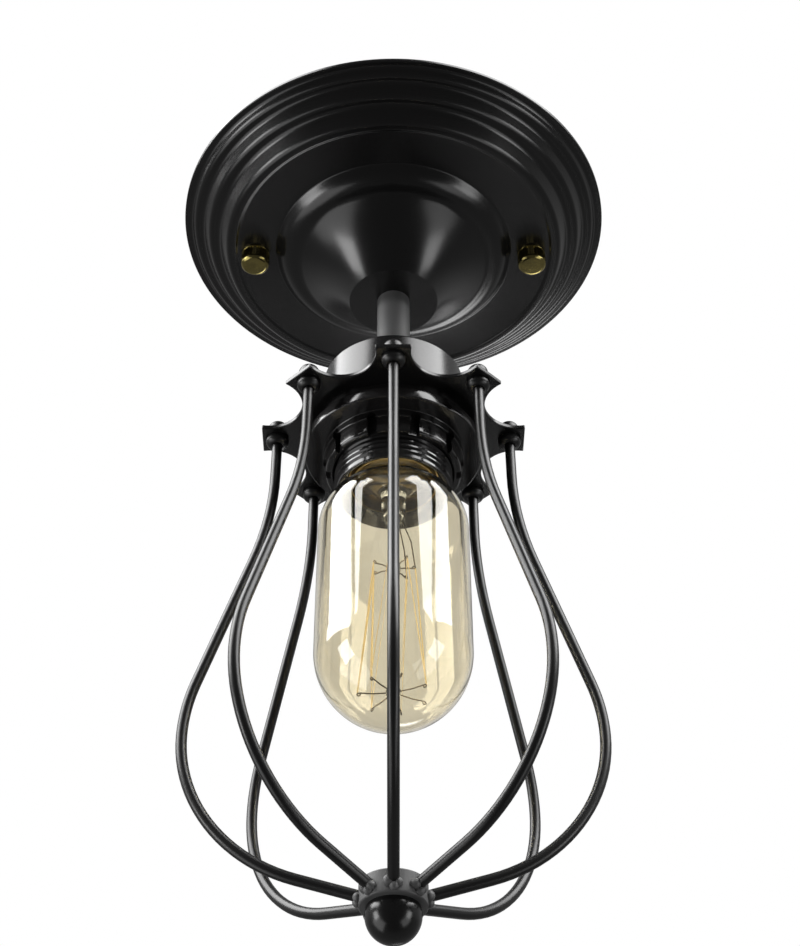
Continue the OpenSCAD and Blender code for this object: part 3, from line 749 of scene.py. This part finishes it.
@dataclass
class CanopyAndCup:
    """The pressed canopy and the socket cup, in mm."""

    rim_r: float = 72.5
    rim_h: float = 1.2
    wall: float = 0.9
    slope: float = 60.0
    brim: float = 2.4
    rises: tuple[float, ...] = (2.6, 4.3, 5.5)
    treads: tuple[float, ...] = (2.7, 3.2, 3.4)
    rounding_share: float = 0.45
    field_drop: float = 0.4
    foot_r: float = 40.2
    shoulder_h: float = 5.1
    shoulder_w: float = 3.2
    shoulder_dip: float = 0.6
    shoulder_bend: float = 8.0
    crease_r: float = 32.2
    neck_h: float = 18.8
    neck_top_r: float = 14.75
    flare_r: float = 57.0
    stem_hole_r: float = 5.1
    stud_hole_r: float = 2.2
    cup_r: float = 22.2
    cup_z: float = 74.7
    cup_end_z: float = 97.9

    def canopy_outline(self) -> list[Vector]:
        """The canopy's outer face, from the rim at the wall to the hole for the stem."""
        lean = 1 / math.tan(math.radians(self.slope))
        half = math.tan(math.radians(self.slope / 2))
        r, out = self.rim_r, self.rim_h
        corners = [Corner(r, 0), Corner(r, out, 0.4)]
        r -= self.brim
        corners.append(Corner(r, out, self.rounding_share * self.brim / half))
        for rise, tread in zip(self.rises, self.treads):
            r -= rise * lean
            out += rise
            bend = self.rounding_share * tread / half
            corners.append(Corner(r, out, bend))
            r -= tread
            if rise != self.rises[-1]:
                corners.append(Corner(r, out, bend))
        field = out - self.field_drop
        crease = Vector((self.crease_r, field + self.shoulder_h))
        top = Vector((self.neck_top_r, crease.y + self.neck_h))
        corners += [Corner(r + 0.6, out, 1), Corner(r, field, 1), Corner(self.foot_r, field, 1),
                    Corner(self.foot_r - self.shoulder_w, crease.y - self.shoulder_dip,
                           self.shoulder_bend),
                    Corner(crease.x, crease.y)]
        return rounded(corners) + self.neck(crease, top) + [Vector((self.stem_hole_r, top.y))]

    def neck(self, crease: Vector, top: Vector) -> list[Vector]:
        """The neck's hollow flare.

        Args:
            crease: The outline's point at the neck's foot.
            top: The outline's point at the neck's flat top.

        Returns:
            The flare's points after the crease.
        """
        run = top - crease
        side = Vector((run.y, -run.x)).normalized()
        reach = math.sqrt(self.flare_r ** 2 - run.length_squared / 4)
        centre = (crease + top) / 2 + side * reach
        start = math.degrees(math.atan2(crease.y - centre.y, crease.x - centre.x))
        end = math.degrees(math.atan2(top.y - centre.y, top.x - centre.x))
        return arc(centre, self.flare_r, start, end, 18)[1:]

    def build(self, coat: bpy.types.Material) -> None:
        """Makes the canopy and the cup.

        Args:
            coat: The finish of both.
        """
        canopy = Bench.lathe("canopy_shell", sheet(self.canopy_outline(), self.wall), 320)
        for side in Side:
            place = Vector((side.stud, 0, 0))
            Bench.cut(canopy, Bench.peg(self.stud_hole_r, place, place - Vector((0, 20, 0))))
        fit(canopy, coat, "fixture", "black_steel", "canopy")
        outline = rounded([Corner(self.cup_r, self.cup_end_z), Corner(self.cup_r, self.cup_z, 1.3),
                           Corner(self.stem_hole_r, self.cup_z)])
        cup = Bench.lathe("socket_cup_shell", sheet(outline, -self.wall), 256)
        fit(cup, coat, "fixture", "cup_steel", "socket_cup")


# ---- cap nuts ----


@dataclass
class CapNut:
    """A knurled cap nut that holds the canopy on its stud, in mm."""

    radius: float = 4.8
    height: float = 6.2
    foot: float = 13.2
    bore_r: float = 2.05
    bore_h: float = 4.7
    teeth: int = 30
    knurl_depth: float = 0.36
    knurl_start: float = 0.75
    plain_h: float = 2.2
    inner_share: float = 0.86

    def knurl(self, side: Side) -> bpy.types.Object:
        """The band of teeth round the nut, a closed ring of four faces.

        Args:
            side: The end of the strap that the nut is at.

        Returns:
            The band.
        """
        count = 2 * self.teeth
        start, length = self.foot + self.knurl_start, self.height - self.plain_h
        rim = []
        for i in range(count):
            angle = math.tau * i / count
            r = self.radius - (self.knurl_depth if i % 2 else 0)
            rim.append(Vector((side.stud + r * math.cos(angle), -start,
                               r * math.sin(angle))) * MM)
        centre = (side.stud * MM, 0, 0)
        piece = Bench.wire("knurl", rim, True)
        narrower, wider = self.inner_share, 1 / self.inner_share
        for shift, scale in ((-length, 1), (0, narrower), (length, 1), (0, wider)):
            bpy.ops.mesh.extrude_edges_move(TRANSFORM_OT_translate={"value": (0, shift * MM, 0)})
            bpy.ops.transform.resize(value=(scale, 1, scale), center_override=centre)
        Bench.close_mesh(20.0)
        return piece

    def build(self, side: Side, brass: bpy.types.Material) -> None:
        """Makes one nut on its stud.

        Args:
            side: The end of the strap that the nut is at.
            brass: The nut's finish.
        """
        r, foot, end = self.radius, self.foot, self.foot + self.height
        groove = r - self.knurl_depth
        outline = rounded([
            Corner(0, end), Corner(r - 1.0, end, 1.5), Corner(r - 0.15, end - 0.75, 0.3),
            Corner(r - 0.15, end - 1.35), Corner(groove, end - 1.45), Corner(groove, foot + 0.7),
            Corner(r, foot + 0.6, 0.15), Corner(r, foot), Corner(self.bore_r, foot),
            Corner(self.bore_r, foot + self.bore_h), Corner(0, foot + self.bore_h)])
        body = Bench.lathe("body", outline, 96, (side.stud, 0.0), closed=False)
        name = f"cap_nut_{side.name.lower()}"
        nut = Bench.join([body, self.knurl(side)], f"{name}_knurled")
        fit(nut, brass, name, "antique_brass", name)


# ---- lampholder ----


@dataclass
class Lampholder:
    """The threaded barrel and the notched shade ring, in mm."""

    body_r: float = 20.2
    thread_r: float = 18.0
    depth: float = 0.7
    pitch: float = 2.0
    rib: tuple[float, ...] = (0.0, 0.55, 1.05, 1.6)
    rib_start: float = 0.4
    mouth_r: float = 16.3
    bore_r: float = 13.9
    insert_r: float = 17.95
    start: float = 90.0
    shoulder: float = 94.5
    mouth: float = 121.5
    ring_z: float = 99.4
    flange_r: float = 27.3
    seat_r: float = 25.2
    flange_z: float = 102.2
    collar_z: float = 106.4
    step_r: float = 21.7
    collar_r: float = 20.8
    step_z: float = 109.0
    end_z: float = 114.1
    fit_gap: float = 0.05
    notches: int = 10
    notch_w: float = 3.0
    notch_start: float = 0.2
    notch_depth: float = 1.6

    def thread(self) -> bpy.types.Object:
        """The barrel's thread: one rib wound up the barrel."""
        root = self.thread_r - self.depth - 0.1
        low = self.shoulder + self.rib_start
        radii = (root, self.thread_r, self.thread_r, root)
        rib = [Vector((r, low + out)) for r, out in zip(radii, self.rib)]
        turns = math.floor((self.mouth - 0.6 - rib[-1].y) / self.pitch)
        piece = Bench.wire("rib", [Vector((p.x, -p.y, 0)) * MM for p in rib], True)
        Bench.apply(piece, "SCREW", axis="Y", angle=math.tau, iterations=turns, steps=128,
                    render_steps=128, screw_offset=-self.pitch * MM, use_merge_vertices=False)
        Bench.open_mesh()
        bpy.ops.mesh.fill_holes(sides=0)
        Bench.close_mesh(25.0)
        return piece

    def barrel(self, bakelite: bpy.types.Material) -> None:
        """Makes the barrel, from the dome to the mouth.

        Args:
            bakelite: The barrel's finish.
        """
        root = self.thread_r - self.depth
        outline = rounded([
            Corner(self.body_r, self.start), Corner(self.body_r, self.shoulder, 0.4),
            Corner(root, self.shoulder), Corner(root, self.mouth, 0.35),
            Corner(self.mouth_r, self.mouth, 0.3), Corner(self.mouth_r - 0.8, self.mouth - 4),
            Corner(self.bore_r, self.mouth - 4.4), Corner(self.bore_r, self.shoulder),
            Corner(self.insert_r, self.shoulder), Corner(self.insert_r, self.start)])
        body = Bench.lathe("barrel", outline, 192)
        barrel = Bench.join([body, self.thread()], "lampholder_barrel_threaded")
        fit(barrel, bakelite, "fixture", "bakelite", "lampholder_barrel")

    def notch(self) -> bpy.types.Object:
        """The cutter for one grip notch, at the ring's right, open past the ring's end."""
        half = self.notch_w / 2
        low = self.collar_z + self.notch_start + half
        past = low + 12
        outline = arc(Vector((0, low)), half, 180, 360, 12)
        outline += [Vector((half, past)), Vector((-half, past))]
        start = self.collar_r - self.notch_depth
        return Bench.prism("notch", [Vector((start, -p.y, p.x)) for p in outline],
                           Vector((2 * self.notch_depth, 0, 0)))

    def ring(self, bakelite: bpy.types.Material) -> None:
        """Makes the shade ring with its flange and its notched collar.

        Args:
            bakelite: The ring's finish.
        """
        bore = self.thread_r + self.fit_gap
        outline = rounded([
            Corner(bore, self.ring_z), Corner(self.seat_r, self.ring_z),
            Corner(self.seat_r, self.flange_z), Corner(self.flange_r, self.flange_z, 0.8),
            Corner(self.flange_r, self.collar_z, 0.5), Corner(self.step_r, self.collar_z, 0.3),
            Corner(self.step_r, self.step_z, 0.35), Corner(self.collar_r, self.step_z),
            Corner(self.collar_r, self.end_z, 1.1), Corner(bore + 0.6, self.end_z, 0.3),
            Corner(bore, self.end_z - 0.6)])
        ring = Bench.lathe("shade_ring_notched", outline, 240)
        cutters = Bench.array(self.notch(), self.notches, "notch_{}")
        Bench.cut(ring, Bench.join(cutters, "notches"))
        Bench.bevel(ring, 0.22, 40.0)
        fit(ring, bakelite, "shade_ring", "ring_bakelite", "shade_ring")


# ---- cage ----


@dataclass
class Cage:
    """The lobed plate, the eight bent wires, the hub and the ball, in mm."""

    count: int = 8
    circle_r: float = 36.1
    plate_z: float = 97.9
    plate_t: float = 1.5
    hole_r: float = 18.2
    lobe_r: float = 40.7
    scallop_place: float = 41.8
    scallop_r: float = 10.8
    wire_r: float = 1.55
    head_r: float = 3.15
    head_h: float = 5.1
    bead_r: float = 3.55
    bead_h: float = 2.5
    belly_r: float = 57.2
    belly_z: float = 207.0
    flare: float = 17.5
    flare_bend: float = 110.0
    upper_bend: float = 56.0
    lower_bend: float = 44.5
    tail: float = 16.0
    hub_r: float = 8.9
    hub_z: float = 251.15
    hub_len: float = 6.5
    lumps: tuple[Triple, ...] = ((-8, 0.5, 1.5), (7, 0.9, 1.35), (1, 1.9, 1.25))
    tail_end_r: float = 5.7
    ball_r: float = 7.3
    ball_lift: float = 2.1

    def plate(self, coat: bpy.types.Material) -> None:
        """Makes the pressed plate with a scallop between each two lobes.

        Args:
            coat: The plate's finish.
        """
        step = math.radians(360 / self.count)
        centre = self.scallop_place * Vector((math.cos(step / 2), math.sin(step / 2)))
        half = math.sqrt(self.scallop_r ** 2 - (self.lobe_r - centre.x) ** 2)
        corner = Vector((self.lobe_r, centre.y - half)) - centre
        spread = math.degrees(corner.angle(-centre))
        inward = 180 + math.degrees(step) / 2
        scallop = arc(centre, self.scallop_r, inward + spread, inward - spread, 22)
        outline = []
        for k in range(self.count):
            turn = Matrix.Rotation(step * k, 2)
            outline += [turn @ point for point in scallop]
        plate = Bench.prism("cage_plate_lobed",
                            [Vector((p.x, -self.plate_z, p.y)) for p in outline],
                            Vector((0, -self.plate_t, 0)))
        deep = Vector((0, -self.plate_z + 5, 0))
        Bench.cut(plate, Bench.peg(self.hole_r, deep, deep - Vector((0, 12, 0)), 96))
        Bench.bevel(plate, 0.3)
        fit(plate, coat, "fixture", "cage_steel", "cage_plate")

    def wire_path(self) -> list[Vector]:
        """The top wire's centre line, from behind the plate to its end in the hub."""
        belly = Vector((self.belly_r, self.belly_z))
        flare = math.radians(self.flare)
        start_r = self.circle_r + self.flare_bend * (1 - math.cos(flare))
        upper = belly - Vector((self.upper_bend, 0))
        lower = belly - Vector((self.lower_bend, 0))
        flared = upper + self.upper_bend * Vector((math.cos(flare), -math.sin(flare)))
        run = (flared.x - start_r) / math.sin(flare)
        leg_end = flared.y - run * math.cos(flare) - self.flare_bend * math.sin(flare)
        first = Vector((self.circle_r + self.flare_bend, leg_end))
        path = [Vector((self.circle_r, self.plate_z))]
        path += arc(first, self.flare_bend, 180, 180 - self.flare, 8)
        path += arc(upper, self.upper_bend, -self.flare, 0, 8)[:-1]
        path += arc(lower, self.lower_bend, 0, 90 - self.tail, 22)
        drop = (path[-1].x - self.tail_end_r) * math.tan(math.radians(self.tail))
        path.append(Vector((self.tail_end_r, path[-1].y + drop)))
        return path

    def wires(self, coat: bpy.types.Material) -> None:
        """Makes the eight wires, each with its head behind the plate and its bead before it.

        Args:
            coat: The wires' finish.
        """
        back, front = self.plate_z, self.plate_z + self.plate_t
        bead = rounded([
            Corner(0, front - 0.5), Corner(3.3, front - 0.5), Corner(3.3, front, 0.05),
            Corner(self.bead_r, front + 0.1, 0.1), Corner(self.bead_r, front + self.bead_h, 1.9),
            Corner(1.75, front + 2.7, 0.2), Corner(1.6, front + 2.3), Corner(0, front + 2.3)],
            step=5.0)
        head = rounded([
            Corner(0, back - self.head_h), Corner(self.head_r, back - self.head_h, 2.6),
            Corner(self.head_r, back - 0.3, 0.2), Corner(2.9, back + 0.3),
            Corner(0, back + 0.3)], step=5.0)
        place = (0.0, self.circle_r)
        path = [Vector((0, -p.y, p.x)) for p in self.wire_path()]
        first = Bench.join([Bench.tube("wire", path, self.wire_r),
                            Bench.lathe("bead", bead, 40, place, closed=False),
                            Bench.lathe("head", head, 40, place, closed=False)],
                           "cage_wire_1_bent")
        for k, wire in enumerate(Bench.array(first, self.count, "cage_wire_{}_bent"), 1):
            fit(wire, coat, "fixture", "wire_steel", f"cage_wire_{k}")

    def weld(self, number: int) -> bpy.types.Object:
        """The lumps of weld at one wire's end.

        Each lump has an angle beside the wire, a distance past the hub's middle and a radius.

        Args:
            number: The wire's number, from 0 for the top one.

        Returns:
            The lumps as one piece.
        """
        angle = math.radians(360 / self.count * number)
        mid = self.hub_z + self.hub_len / 2
        lumps = []
        for i, (side, out, size) in enumerate(self.lumps):
            turn = angle + math.radians(side)
            place = Vector((math.sin(turn), 0, math.cos(turn))) * (self.hub_r + 0.2)
            place.y = -(mid + out)
            Bench.clear()
            bpy.ops.mesh.primitive_ico_sphere_add(subdivisions=3, radius=size * MM,
                                                  location=place * MM)
            bpy.ops.object.transform_apply(location=True)
            Bench.open_mesh()
            bpy.ops.transform.vertex_random(offset=0.2 * MM,
                                            seed=number * len(self.lumps) + i)
            bpy.ops.mesh.vertices_smooth(factor=0.4)
            bpy.ops.object.mode_set(mode="OBJECT")
            lumps.append(Bench.name(f"lump_{number}_{i}"))
        return Bench.join(lumps, f"weld_{number}")

    def hub(self, coat: bpy.types.Material) -> None:
        """Makes the hub with the welds that hold the wires.

        Args:
            coat: The hub's finish.
        """
        end = self.hub_z + self.hub_len
        outline = rounded([Corner(0, self.hub_z), Corner(self.hub_r, self.hub_z, 0.5),
                           Corner(self.hub_r, end, 0.5), Corner(0, end)])
        body = Bench.lathe("body", outline, 128, closed=False)
        hub = Bench.join([body, *map(self.weld, range(self.count))], "cage_hub_welded")
        Bench.smooth(hub, 60.0)
        fit(hub, coat, "fixture", "cage_steel", "cage_hub")

    def ball(self, coat: bpy.types.Material) -> None:
        """Makes the ball, flat where it meets the hub.

        Args:
            coat: The ball's finish.
        """
        face = self.hub_z + self.hub_len
        centre = Vector((0, face + self.ball_lift))
        start = math.degrees(math.asin(self.ball_lift / self.ball_r))
        outline = [Vector((0, face))] + arc(centre, self.ball_r, -start, 90, 40)
        ball = Bench.lathe("finial_ball_turned", outline, 128, closed=False, sharp=50.0)
        fit(ball, coat, "fixture", "finial_steel", "finial_ball")


# ---- lamp ----


@dataclass
class Lamp:
    """The lamp's glass, its mount, hooks, leads and filament, in mm."""

    glass_r: float = 22.5
    neck_r: float = 12.5
    wall: float = 0.7
    neck_z: float = 113.9
    rim_z: float = 118.5
    shoulder_h: float = 11.5
    shoulder_bend: float = 16.0
    tip_z: float = 202.3
    press_z: float = 131.5
    rod_r: float = 1.3
    upper_z: float = 150.3
    lower_z: float = 193.3
    upper_r: float = 6.0
    lower_r: float = 9.5
    hooks: int = 7
    hook_r: float = 0.2
    curl_r: float = 0.45
    strand_r: float = 0.2
    strand_gap: float = 0.4
    foot_r: float = 2.6

    def tube(self, glass: bpy.types.Material) -> None:
        """Makes the blown tube with its round end.

        Args:
            glass: The tube's finish.
        """
        outer = rounded([
            Corner(self.neck_r, self.neck_z), Corner(self.neck_r, self.rim_z + 1.3, 2.5),
            Corner(self.glass_r, self.rim_z + self.shoulder_h, self.shoulder_bend),
            Corner(self.glass_r, self.tip_z, self.glass_r - 0.2), Corner(0, self.tip_z)],
            step=2.5)
        outline = [*reversed(outer), *offset(outer, self.wall)]
        tube = Bench.lathe("lamp_glass_blown", outline, 160, closed=False, sharp=60.0)
        fit(tube, glass, "lamp", "amber_glass", "lamp_glass")

    def mount(self, glass: bpy.types.Material) -> None:
        """Makes the flare, the press and the rod with its two buttons.

        Args:
            glass: The mount's finish.
        """
        rim = self.neck_r - self.wall - 0.05
        low = self.neck_z + 0.3
        rod, press = self.rod_r, self.press_z
        corners = [
            Corner(0, low + 9), Corner(2.6, low + 8, 0.8), Corner(rim - 1, low), Corner(rim, low),
            Corner(3.9, low + 7.5, 3), Corner(3.4, press, 1.2), Corner(rod, press + 1.5, 1.5)]
        for z in (self.upper_z, self.lower_z):
            corners += [Corner(rod, z - 1.6, 0.6), Corner(rod + 0.8, z - 0.7, 0.6),
                        Corner(rod + 0.8, z + 0.7, 0.6), Corner(rod * 0.9, z + 1.6, 0.5)]
        corners.append(Corner(0, self.lower_z + 1.8))
        mount = Bench.lathe("lamp_mount_glass", rounded(corners), 64, closed=False, sharp=50.0)
        fit(mount, glass, "lamp", "clear_glass", "lamp_mount")

    def spot(self, step: float, radius: float, out: float) -> Vector:
        """A point on a wheel of hooks, some steps round it."""
        angle = math.tau * step / self.hooks
        return Vector((radius * math.cos(angle), -out, radius * math.sin(angle)))

    def hook(self, step: float, reach: float, out: float, curl: int) -> bpy.types.Object:
        """One support wire, curled round the filament at its end.

        Args:
            step: The wire's place round its wheel, in steps from one wire to the next.
            reach: The radius that its straight part ends at.
            out: Its distance from the wall.
            curl: The side that its end curls to, 1 for the wall's and -1 for the tip's.

        Returns:
            The wire.
        """
        start = self.spot(step, self.rod_r + 0.5, out)
        end = self.spot(step, reach, out)
        side = (end - start).normalized()
        centre = Vector((0, curl * self.curl_r, 0))
        path = [start, start.lerp(end, 0.5) + Vector((0, curl * 0.25, 0))]
        for i in range(10):
            angle = math.radians(-90 + 33 * i)
            turned = math.cos(angle) * side + Vector((0, curl * math.sin(angle), 0))
            path.append(end + centre + self.curl_r * turned)
        return Bench.tube("hook", path, self.hook_r, 1)

    def metal(self, hook_wire: bpy.types.Material, filament: bpy.types.Material) -> None:
        """Makes the hooks, the filament strung on them and the leads to its ends.

        Args:
            hook_wire: The finish of the hooks and the leads.
            filament: The filament's finish.
        """
        wheels = ((self.upper_r, self.upper_z), (self.lower_r, self.lower_z))
        hooks = [self.hook(i + wheel / 2, *wheels[wheel], 1 - 2 * wheel)
                 for wheel in (0, 1) for i in range(self.hooks)]
        fit(Bench.join(hooks, "lamp_hooks"), hook_wire, "lamp", "support_wire", "lamp_supports")
        path = []
        for i in range(2 * self.hooks - 1):
            reach, out = wheels[i % 2]
            path.append(self.spot(i / 2, reach + self.strand_gap, out))
        strand = Bench.tube("lamp_filament_strung", path, self.strand_r, 2)
        fit(strand, filament, "lamp", "filament", "lamp_filament")
        leads = []
        for end in (path[0], path[-1]):
            foot = Vector((end.x, 0, end.z)).normalized() * self.foot_r
            foot.y = -(self.press_z + 0.7)
            middle = foot.lerp(end, 0.45) + Vector((foot.x, 0, foot.z)) * 0.35
            bent = [foot, foot.lerp(middle, 0.5), middle, middle.lerp(end, 0.6), end]
            leads.append(Bench.tube("lead", bent, self.hook_r, 1))
        fit(Bench.join(leads, "lamp_leads_bent"), hook_wire, "lamp", "support_wire", "lamp_leads")


# ---- studio ----


def stand(name: str, data: bpy.types.ID, place: Triple, aim: Triple) -> bpy.types.Object:
    """Stands a light or a camera in the studio.

    Args:
        name: The object's name.
        data: The light or the camera.
        place: Where it stands.
        aim: The point that it faces.

    Returns:
        The new object.
    """
    thing = bpy.data.objects.new(name, data)
    thing.location = place
    thing.rotation_mode = "QUATERNION"
    thing.rotation_quaternion = (Vector(aim) - Vector(place)).to_track_quat("-Z", "Y")
    bpy.context.scene.collection.objects.link(thing)
    return thing


@dataclass(frozen=True)
class Softbox:
    """A rectangular soft light: place, size, radiance, aim, and its beam's spread in degrees."""

    name: str
    place: Triple
    size: tuple[float, float]
    radiance: float
    aim: Triple = (0.0, -0.12, 0.0)
    spread: float = 180.0

    def add(self) -> None:
        """Adds the light, turned to face its aim."""
        data = bpy.data.lights.new(self.name, "AREA")
        data.shape = "RECTANGLE"
        data.size, data.size_y = self.size
        half = math.radians(self.spread / 2)
        data.spread = 2 * half
        focus = 1 - half / math.tan(half)
        data.energy = self.radiance * focus * math.pi * self.size[0] * self.size[1]
        stand(self.name, data, self.place, self.aim)


@dataclass
class Studio:
    """The camera, the soft lights, the white surroundings and the pale floor, in metres."""

    eye: Triple = (0.0, -0.4793, 0.4191)
    aim: Triple = (0.0, -0.070, 0.0)
    lens: float = 69.08
    shift: tuple[float, float] = (0.0069, -0.1064)
    floor_z: float = -0.75
    ambient: float = 0.08
    mirrored: float = 0.25
    ahead: float = 0.10
    unlit: float = 0.08
    edge: float = 0.15
    softboxes: tuple[Softbox, ...] = (
        Softbox("left_rear_softbox", (-0.90, 0.68, 0.18), (1.1, 1.0), 8.0),
        Softbox("right_rear_softbox", (0.80, 0.80, 0.42), (1.1, 0.9), 7.5),
        Softbox("left_side_softbox", (-0.95, -0.34, 0.27), (0.42, 0.34), 7.0),
        Softbox("right_side_softbox", (0.88, -0.38, 0.40), (0.4, 0.32), 4.5),
        Softbox("left_front_softbox", (-0.72, -0.70, 0.13), (0.7, 0.6), 1.7),
        Softbox("right_front_softbox", (0.63, -0.73, 0.32), (0.5, 0.4), 1.4),
        Softbox("low_softbox", (0.14, -0.34, -0.66), (0.55, 0.2), 10.0, (0.02, -0.02, -0.04),
                30.0),
    )

    def set_camera(self) -> None:
        """Adds the camera at the photo's viewing angle."""
        data = bpy.data.cameras.new("camera")
        data.lens = self.lens
        data.sensor_width = 36.0
        data.shift_x, data.shift_y = self.shift
        data.clip_start, data.clip_end = 0.01, 50.0
        bpy.context.scene.camera = stand("camera", data, self.eye, self.aim)

    def backdrop(self, g: Graph, sideways: Socket, behind: Socket, before: Socket) -> Socket:
        """The surroundings' brightness for each kind of ray.

        Args:
            g: The graph to build in.
            sideways: How far to the side a point lies, 0 to 1, dark as seen through glass.
            behind: How far behind the light a point lies, 0 to 1, bright as seen in gloss.
            before: How far before the light a point lies, 0 to 1, grey as seen in gloss.

        Returns:
            The strength: white to the eye, and shaded in glass and in gloss.
        """
        eye = g.add("ShaderNodeLightPath", output="Is Camera Ray")
        through = g.add("ShaderNodeLightPath", output="Is Transmission Ray")
        gloss = g.add("ShaderNodeLightPath", output="Is Glossy Ray")
        seen = g.math("MAXIMUM", eye, through * (1 - sideways * (1 - self.edge)))
        shine = gloss * (behind * self.mirrored + before * self.ahead + self.unlit)
        return g.math("MAXIMUM", seen, shine + (1 - gloss) * (1 - through) * self.ambient)

    def split(self, g: Graph, output: str) -> tuple[Socket, Socket, Socket]:
        """The three coordinates of a point or a direction."""
        coords = g.add("ShaderNodeTexCoord", output=output)
        return tuple(g.add("ShaderNodeSeparateXYZ", output=axis, Vector=coords) for axis in "XYZ")

    def set_world(self) -> None:
        """Makes the surroundings white to the eye and dim as a light."""
        world = bpy.data.worlds.new("studio")
        bpy.context.scene.world = world
        world.use_nodes = True
        g = Graph.on(world.node_tree)
        x, y, z = self.split(g, "Generated")
        sideways = g.math("ABSOLUTE", x, 0.0).ramped(0.45, 0.75)
        rear = y.ramped(-0.15, 0.15)
        behind = rear * (1 - z.ramped(0.0, 0.35))
        before = (1 - rear) * (1 - z.ramped(-0.2, 0.2))
        sky = g.add("ShaderNodeBackground", Color=(1, 1, 1),
                    Strength=self.backdrop(g, sideways, behind, before))
        g.end(sky, "ShaderNodeOutputWorld")

    def lay_floor(self) -> None:
        """Lays the pale floor below the light."""
        Bench.clear()
        bpy.ops.mesh.primitive_plane_add(size=8.0, location=(0, 0, self.floor_z))
        floor = Bench.name("floor")
        g = Graph("pale_floor")
        x, y, _ = self.split(g, "Object")
        sideways = g.math("ABSOLUTE", x, 0.0).ramped(0.6, 1.2)
        behind = y.ramped(-0.35, 0.1)
        g.end(g.add("ShaderNodeEmission",
                    Strength=self.backdrop(g, sideways, behind, 1 - behind)))
        floor.data.materials.append(g.material)

    def build(self) -> None:
        """Sets the whole studio up."""
        self.set_camera()
        self.set_world()
        self.lay_floor()
        for softbox in self.softboxes:
            softbox.add()
        bpy.context.scene.view_settings.view_transform = "Standard"


def dress(nodes: dict[str, bpy.types.Object], finishes: dict[str, bpy.types.Material]) -> None:
    """Gives each solid node its material.

    Args:
        nodes: The solid nodes by name.
        finishes: The materials by node name.
    """
    for name, node in nodes.items():
        if not node.material_slots:
            node.data.materials.append(None)
        for place in node.material_slots:
            place.material = finishes[name]


def main() -> None:
    """Builds the light's finishes and pieces, then the studio."""
    logging.basicConfig(level=logging.INFO, format="%(message)s")
    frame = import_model()
    coat = PowderCoat().material("black_powder_coat")
    wire_coat = PowderCoat(roughness=0.34).material("wire_powder_coat")
    # The stem's and the hub's black powder coat: rougher, with its colour lightened to 0.08 as a
    # painted sheen that stands in for their highlights.
    rough_painted_sheen_coat = PowderCoat((0.08, 0.08, 0.08), 0.5).material("rough_powder_coat_painted_sheen")
    bakelite = Bakelite().material("black_bakelite")
    zinc = Plate().material("zinc_plate")
    brass = Plate((0.52, 0.37, 0.15), (0.30, 0.21, 0.08)).material("rolled_brass")
    antique = Plate((0.30, 0.25, 0.09), (0.14, 0.12, 0.05), 0.16).material("antique_brass")
    hook_wire = Plate((0.20, 0.17, 0.13), (0.10, 0.08, 0.06), 0.35).material("hook_wire")
    glass = Glass().material("amber_glass")
    clear = Glass((0.95, 0.96, 0.94)).material("clear_glass")
    carbon = Glow().material("carbon_filament")
    groups = (
        (coat, ("canopy", "socket_cup", "cage_plate", "cage_hub", "finial_ball")),
        (rough_painted_sheen_coat, ("stem_tube",)),
        (wire_coat, [f"cage_wire_{k}" for k in range(1, 9)]),
        (bakelite, ("lampholder_dome", "lampholder_barrel", "shade_ring", "lamp_insulator")),
        (zinc, ("mounting_strap", "canopy_studs", "stud_lock_nuts", "canopy_washer",
                "canopy_lock_nut", "cup_washer", "lamp_pip")),
        (brass, ("earth_screw", "terminal_screws", "centre_contact", "screw_shell", "lamp_cap")),
        (antique, ("cap_nut_left", "cap_nut_right")),
        (hook_wire, ("lamp_supports", "lamp_leads")),
        (Steatite().material("steatite"), ("terminal_insert",)),
        (Insulation().material("lead_insulation"), ("lead_wires",)),
        (glass, ("lamp_glass",)),
        (clear, ("lamp_mount",)),
        (carbon, ("lamp_filament",)),
    )
    dress(frame["nodes"], {name: finish for finish, names in groups for name in names})
    CanopyAndCup().build(coat)
    for side in Side:
        CapNut().build(side, antique)
    holder = Lampholder()
    holder.barrel(bakelite)
    holder.ring(bakelite)
    cage = Cage()
    cage.plate(coat)
    cage.wires(wire_coat)
    cage.hub(rough_painted_sheen_coat)
    cage.ball(coat)
    lamp = Lamp()
    lamp.tube(glass)
    lamp.mount(clear)
    lamp.metal(hook_wire, carbon)
    Studio().build()


if __name__ == "__main__":
    main()
